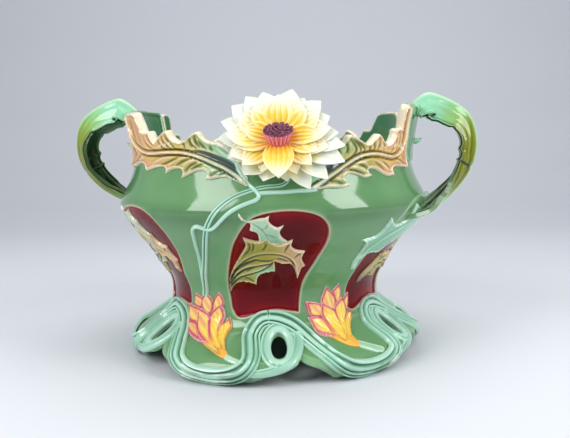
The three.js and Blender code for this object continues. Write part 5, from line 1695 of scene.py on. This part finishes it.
OLIVE_RIBS = [
    [
        (-16.7, 87.7), (-13.3, 97.5), (-10.1, 104.4), (-6.8, 109.6), (-3.2, 113.3), (0.9, 114.8),
        (4.9, 114.1), (8.2, 111.8), (11, 107.3), (12.6, 101.5), (13.6, 92.6)],
    [(-16.6, 84.8), (-13.5, 92.6), (-10.3, 97.7), (-7.1, 101.1), (-3.8, 102.4), (-0.2, 104), (2.5, 105)],
    [(-17.2, 80.7), (-14.1, 87.8), (-10.9, 92.1), (-7.7, 94.1), (-4.6, 96), (-1.6, 98.3), (1.8, 103)]]
OLIVE_GAPS = [
    [
        (-14.2, 94), (-11.9, 99), (-8.5, 104), (-5.1, 107.2), (-0.6, 108.8), (-4, 105.3), (-7.9, 101.8),
        (-11.7, 96.7)], [(-13.8, 90.2), (-11.4, 95.2), (-8.5, 98.8), (-7, 99.8), (-8, 97), (-10.7, 93.9)],
    [(-7.1, 100.4), (-4.2, 101.5), (-1.4, 102.6), (-3.8, 99.7), (-7.1, 96.3), (-8.6, 95.6)]]
OLIVE_GOUGES = [
    [(-5.3, 124.6), (-4.5, 120.2), (-5.6, 115.6), (-8, 111.2)],
    [(-3.6, 124.1), (-3.2, 119.8), (-4.6, 114.8)], [(1.2, 125.6), (1.1, 120.7), (-0.5, 116.4)],
    [(9.2, 122.1), (8.2, 118.4), (7.7, 114.6)], [(14, 112.6), (12.4, 110.6), (11.6, 108.4)],
    [(-4.2, 107.4), (-2.1, 106.3), (1.4, 106), (3.4, 107.2)], [(-9.9, 90), (-7.2, 88.9), (-5.2, 84.8)],
    [(4.5, 108.6), (7.2, 107.4), (9.4, 104.8)], [(-13.6, 100.6), (-11.2, 106.4), (-8.6, 110.8)]]
OLIVE_COLOURS = [        # degrees, colour
    (-16, (118, 130, 40)), (-7, (150, 146, 34)), (2, (172, 158, 52)), (8, (206, 172, 110)),
    (14, (222, 180, 140))]
MINT_LEAF = [
    (-6.8, 152, 1), (-5.8, 146.5), (-4.6, 144.6), (-2.9, 144.1), (-1.7, 144.9), (0.1, 145.7), (1.3, 145.6),
    (2.5, 147.9, 1), (2.2, 143.1), (2.8, 140.4), (4, 137.6), (5.2, 136.4), (6.9, 138.7, 1), (5.7, 134.2),
    (5.8, 130.6), (6.7, 126.9), (8.8, 123.4, 1), (6.2, 121.6), (4.2, 121), (1.2, 122), (-1.3, 122.8),
    (-1.2, 130), (-1.8, 133.6), (-3.9, 135.1, 1), (-3.3, 140), (-3.6, 141.8), (-4.6, 142.4), (-6.2, 143.9),
    (-7.2, 147.8)]
MINT_VEINS = [
    [(-3.4, 142.6), (-0.7, 138.6), (1, 133.6), (1.9, 127.6)], [(1.4, 131.6), (3.4, 130.2), (4.8, 127.4)],
    [(0.2, 136.2), (2, 138.8), (2, 143)]]
SIDE_MINT_LEAF = [
    (14.6, 126.5, 1), (16.2, 121.5), (15, 117, 1), (16.8, 113.2), (16, 108.8, 1), (17.8, 105),
    (17.2, 98.8, 1), (20.2, 103.5), (22, 110), (22.8, 118), (21.5, 124.5), (18, 128)]
HANDLE_TAIL = [
    (88, 155), (84, 153.5), (79.4, 151.5), (74, 149.5), (69.5, 145), (65.5, 144.6), (61.6, 149.4, 1),
    (60.6, 143.2), (58.8, 137.6), (56, 133.2), (52.6, 132), (49.6, 134.4), (46.9, 140.2, 1), (46.2, 134.8),
    (45.6, 129.1), (44.3, 124.9), (42.2, 122.8), (40.6, 122.4), (37.6, 121, 1), (40.6, 118), (40.9, 113.8),
    (40.5, 108.2), (39.6, 104.1), (39, 99.6), (39.4, 91.8, 1), (41.2, 92.4), (41.4, 97.3), (42.4, 102.3),
    (44.6, 106.4), (47.5, 107.6), (50, 105.6), (52.4, 106.6), (55, 110.9), (58.4, 115), (62, 118.4),
    (67, 121.8), (72.5, 124.6), (77, 128.2), (81, 134), (85, 141)]


LEAF_BED = -RECESS + 0.5         # where the window leaves' undersides lie
NARROWED, SHIFTED = 0.8, 4       # the smaller leaf: share of the degrees, and degrees added
LOWERED, RAISED = 0.482, 39.1    # and the same for its heights


def shrunk(places):
    """The leaf of the windows that a handle's tail crosses: the same one, lower and smaller."""
    return [(NARROWED * place[0] + SHIFTED, LOWERED * place[1] + RAISED, *place[2:]) for place in places]


def olive_shape(flat, gap, fitted=list):
    gouges = relief(flat, [(fitted(line), -1.1, 0.6, True) for line in OLIVE_GOUGES])
    lift = 0.35 + gouges
    dark = np.zeros(len(flat))
    for rib in OLIVE_RIBS:
        path = rounded(drawn(fitted(rib)), closed=False, rounds=3, spacing=1.0)
        rib_gap, _, side = nearest(flat, path)
        lift += 0.95 * bump(rib_gap, 0, 0.75) - 0.9 * bump(rib_gap, 1.6, 0.6) * (side < 0)
        dark = np.maximum(dark, bump(rib_gap, 1.5, 0.6) * (side < 0))
    for points in OLIVE_GAPS:
        depth, mask = hollow(flat, fitted(points), 1.5, 0.7)
        lift += depth
        dark = np.maximum(dark, mask)
    lift += 0.75 * bump(gap, 0.75, 0.55) - 0.35 * bump(gap, 2.0, 0.6) - 0.8 * np.clip(1 - gap / 0.5, 0, 1)
    degrees, height = flat[:, 0] / MM_PER_DEGREE, flat[:, 1]
    if fitted is shrunk:
        degrees, height = (degrees - SHIFTED) / NARROWED, (height - RAISED) / LOWERED
    tint = by_distance(degrees, OLIVE_COLOURS)
    low = np.clip((101.5 + 0.25 * degrees - height) / 4, 0, 1) * np.clip((degrees + 7) / 5, 0, 1)
    tint = blended(tint, (150, 208, 164), low * (degrees < 6))
    tint = blended(tint, (52, 56, 4), 0.85 * np.clip(-gouges, 0, 1))
    tint = blended(tint, (14, 24, 2), 0.98 * dark)
    tint = blended(tint, (10, 22, 6), 0.6 * np.clip((-13.5 - degrees) / 3, 0, 1))
    return lift, blended(tint, (248, 220, 196), 0.8 * bump(gap, 0.3, 0.5))


def mint_shape(flat, gap):
    veins = relief(flat, [(line, -0.5, 0.4, True) for line in MINT_VEINS])
    lift = 0.1 + 0.5 * (1 - np.exp(-gap / 1.6)) + 0.6 * bump(gap, 0.6, 0.4) + veins
    lift -= 0.7 * np.clip(1 - gap / 0.4, 0, 1) + 0.9 * np.clip((128 - flat[:, 1]) / 5, 0, 1)
    tint = blended(flat_tint(flat, (150, 196, 160)), (176, 214, 180), bump(flat[:, 1], 138, 7))
    tint = blended(tint, (84, 128, 92), 0.8 * np.clip(-2 * veins, 0, 1))
    return lift, blended(tint, (248, 214, 214), 0.8 * bump(gap, 0.3, 0.5))


def make_window_leaves():
    plain = joined([wall_plate(OLIVE_LEAF, 0.95, olive_shape, LEAF_BED),
                    wall_plate(MINT_LEAF, 0.95, mint_shape, LEAF_BED)])
    crossed = joined([
        wall_plate(shrunk(OLIVE_LEAF), 0.8, lambda flat, gap: olive_shape(flat, gap, shrunk), LEAF_BED),
        wall_plate(SIDE_MINT_LEAF, 0.95, mint_shape, LEAF_BED)])
    for k in range(WINDOWS):
        points, faces, tint = crossed if k % 3 == 1 else plain
        piece(f"spiny_leaf_{k + 1}", points, faces, WINDOW_LEAF_GLAZE,
              [f"window_leaf_{k + 1}"], tint=tint, turn=360 / WINDOWS * k, crease=60)
    return len(faces)


WINDOW_LEAF_GLAZE = glaze("spiny_leaf_glaze", (160, 156, 50), (244, 226, 190), (46, 52, 4), tinted=True,
                          drift=0.06, depth=0.7, gloss=(0.4, 0.35), thin=0.35)
print("window leaves", make_window_leaves(), "faces")

# %% [markdown]
# ## Leaf tails
# Each handle runs on as a leaf over the shoulder and across the corner of a window, down to a thin tip.

# %% Leaf tails
TAIL_RIB = [
    (84, 148), (77, 144), (70, 138.5), (64.4, 134.1), (58.7, 129.6), (53.3, 125.6), (49, 121.8),
    (46.2, 117.1), (43, 111.2), (40.9, 103.3), (40.1, 94)]
TAIL_LINES = [
    [(58, 134), (53, 128.6), (49.6, 125.9), (46, 122.3), (43.5, 117.5)],
    [(60, 126.6), (55.8, 121.6), (52, 117.6), (48.6, 113.3), (45.5, 111.4)],
    [(76, 140.4), (69, 133.4), (63.6, 128.4)], [(72, 145.6), (66, 141), (61, 137)]]


def tail_shape(flat, gap):
    rib_gap = nearest(flat, rounded(drawn(TAIL_RIB), closed=False))[0]
    lift = 1.3 + 1.0 * (1 - np.exp(-gap / 2.0)) + 0.9 * bump(rib_gap, 0, 1.0) - 0.5 * bump(rib_gap, 2.2, 0.8)
    lift += 0.9 * bump(gap, 0.9, 0.6) - 1.0 * np.clip(1 - gap / 0.6, 0, 1)
    lift += relief(flat, [(line, -0.7, 0.6, True) for line in TAIL_LINES])
    degrees = flat[:, 0] / MM_PER_DEGREE
    lift += 1.6 * np.clip((degrees - 70) / 12, 0, 1)
    tint = by_distance(degrees, [(38, (130, 190, 150)), (55, (126, 190, 154)), (75, (146, 214, 172))])
    return lift, blended(tint, (214, 240, 200), 0.75 * bump(gap, 0.5, 0.8))


TAIL_GLAZE = glaze("leaf_tail_glaze", (128, 194, 160), (204, 240, 220), (40, 84, 50), tinted=True, drift=0.1,
                   depth=0.6)
tail = wall_plate(HANDLE_TAIL, 1.1, tail_shape, sunk=-1.2)
twice("leaf_tail_{}", "handle_tail_{}", RIGHT_LEFT, tail, TAIL_GLAZE, "handle_glaze")
print("tails", len(tail[1]), "faces")

# %% [markdown]
# ## Floor and light
# A pale floor that runs up into a pale backdrop, one broad soft lamp at each side, and a soft sky.

# %% Floor and light
def add_floor():
    steps = [(-1.6, 0), (0.9, 0), (1.15, 0.03), (1.35, 0.12), (1.5, 0.3), (1.56, 0.55), (1.6, 2.2)]
    points = [(x, y, z) for y, z in steps for x in (-3.0, 3.0)]
    faces = [(2 * i, 2 * i + 1, 2 * i + 3, 2 * i + 2) for i in range(len(steps) - 1)]
    mesh = bpy.data.meshes.new("floor")
    mesh.from_pydata(points, [], faces)
    floor = bpy.data.objects.new("floor", mesh)
    bpy.context.scene.collection.objects.link(floor)
    for polygon in mesh.polygons:
        polygon.use_smooth = True
    material = bpy.data.materials.new("floor")
    material.use_nodes = True
    shader = material.node_tree.nodes["Principled BSDF"]
    shader.inputs["Base Color"].default_value = (*linear((214, 217, 222)), 1)
    shader.inputs["Roughness"].default_value = 0.9
    shader.inputs["Specular IOR Level"].default_value = 0.1
    mesh.materials.append(material)
    return floor


def add_lamp(name, at, size, power, aim=(0, 0, 0.13)):
    lamp = bpy.data.objects.new(name, bpy.data.lights.new(name, "AREA"))
    lamp.data.shape = "RECTANGLE"
    lamp.data.size, lamp.data.size_y = size
    lamp.data.energy = power
    lamp.location = at
    lamp.rotation_euler = (Vector(aim) - Vector(at)).to_track_quat("-Z", "Y").to_euler()
    bpy.context.scene.collection.objects.link(lamp)
    return lamp


def add_sky(strength):
    world = bpy.data.worlds.new("sky")
    world.use_nodes = True
    world.node_tree.nodes["Background"].inputs["Color"].default_value = (0.86, 0.9, 0.96, 1)
    world.node_tree.nodes["Background"].inputs["Strength"].default_value = strength
    bpy.context.scene.world = world


add_floor()
add_lamp("left_window", (-0.9, -0.9, 0.95), (0.7, 0.9), 13)
add_lamp("right_window", (1.0, -0.55, 0.8), (0.5, 0.8), 9)
add_lamp("overhead", (0.1, 0.1, 1.5), (1.2, 1.2), 10)
add_sky(0.42)
bpy.context.scene.view_settings.view_transform = "Standard"
print("floor, lamps and sky are set")
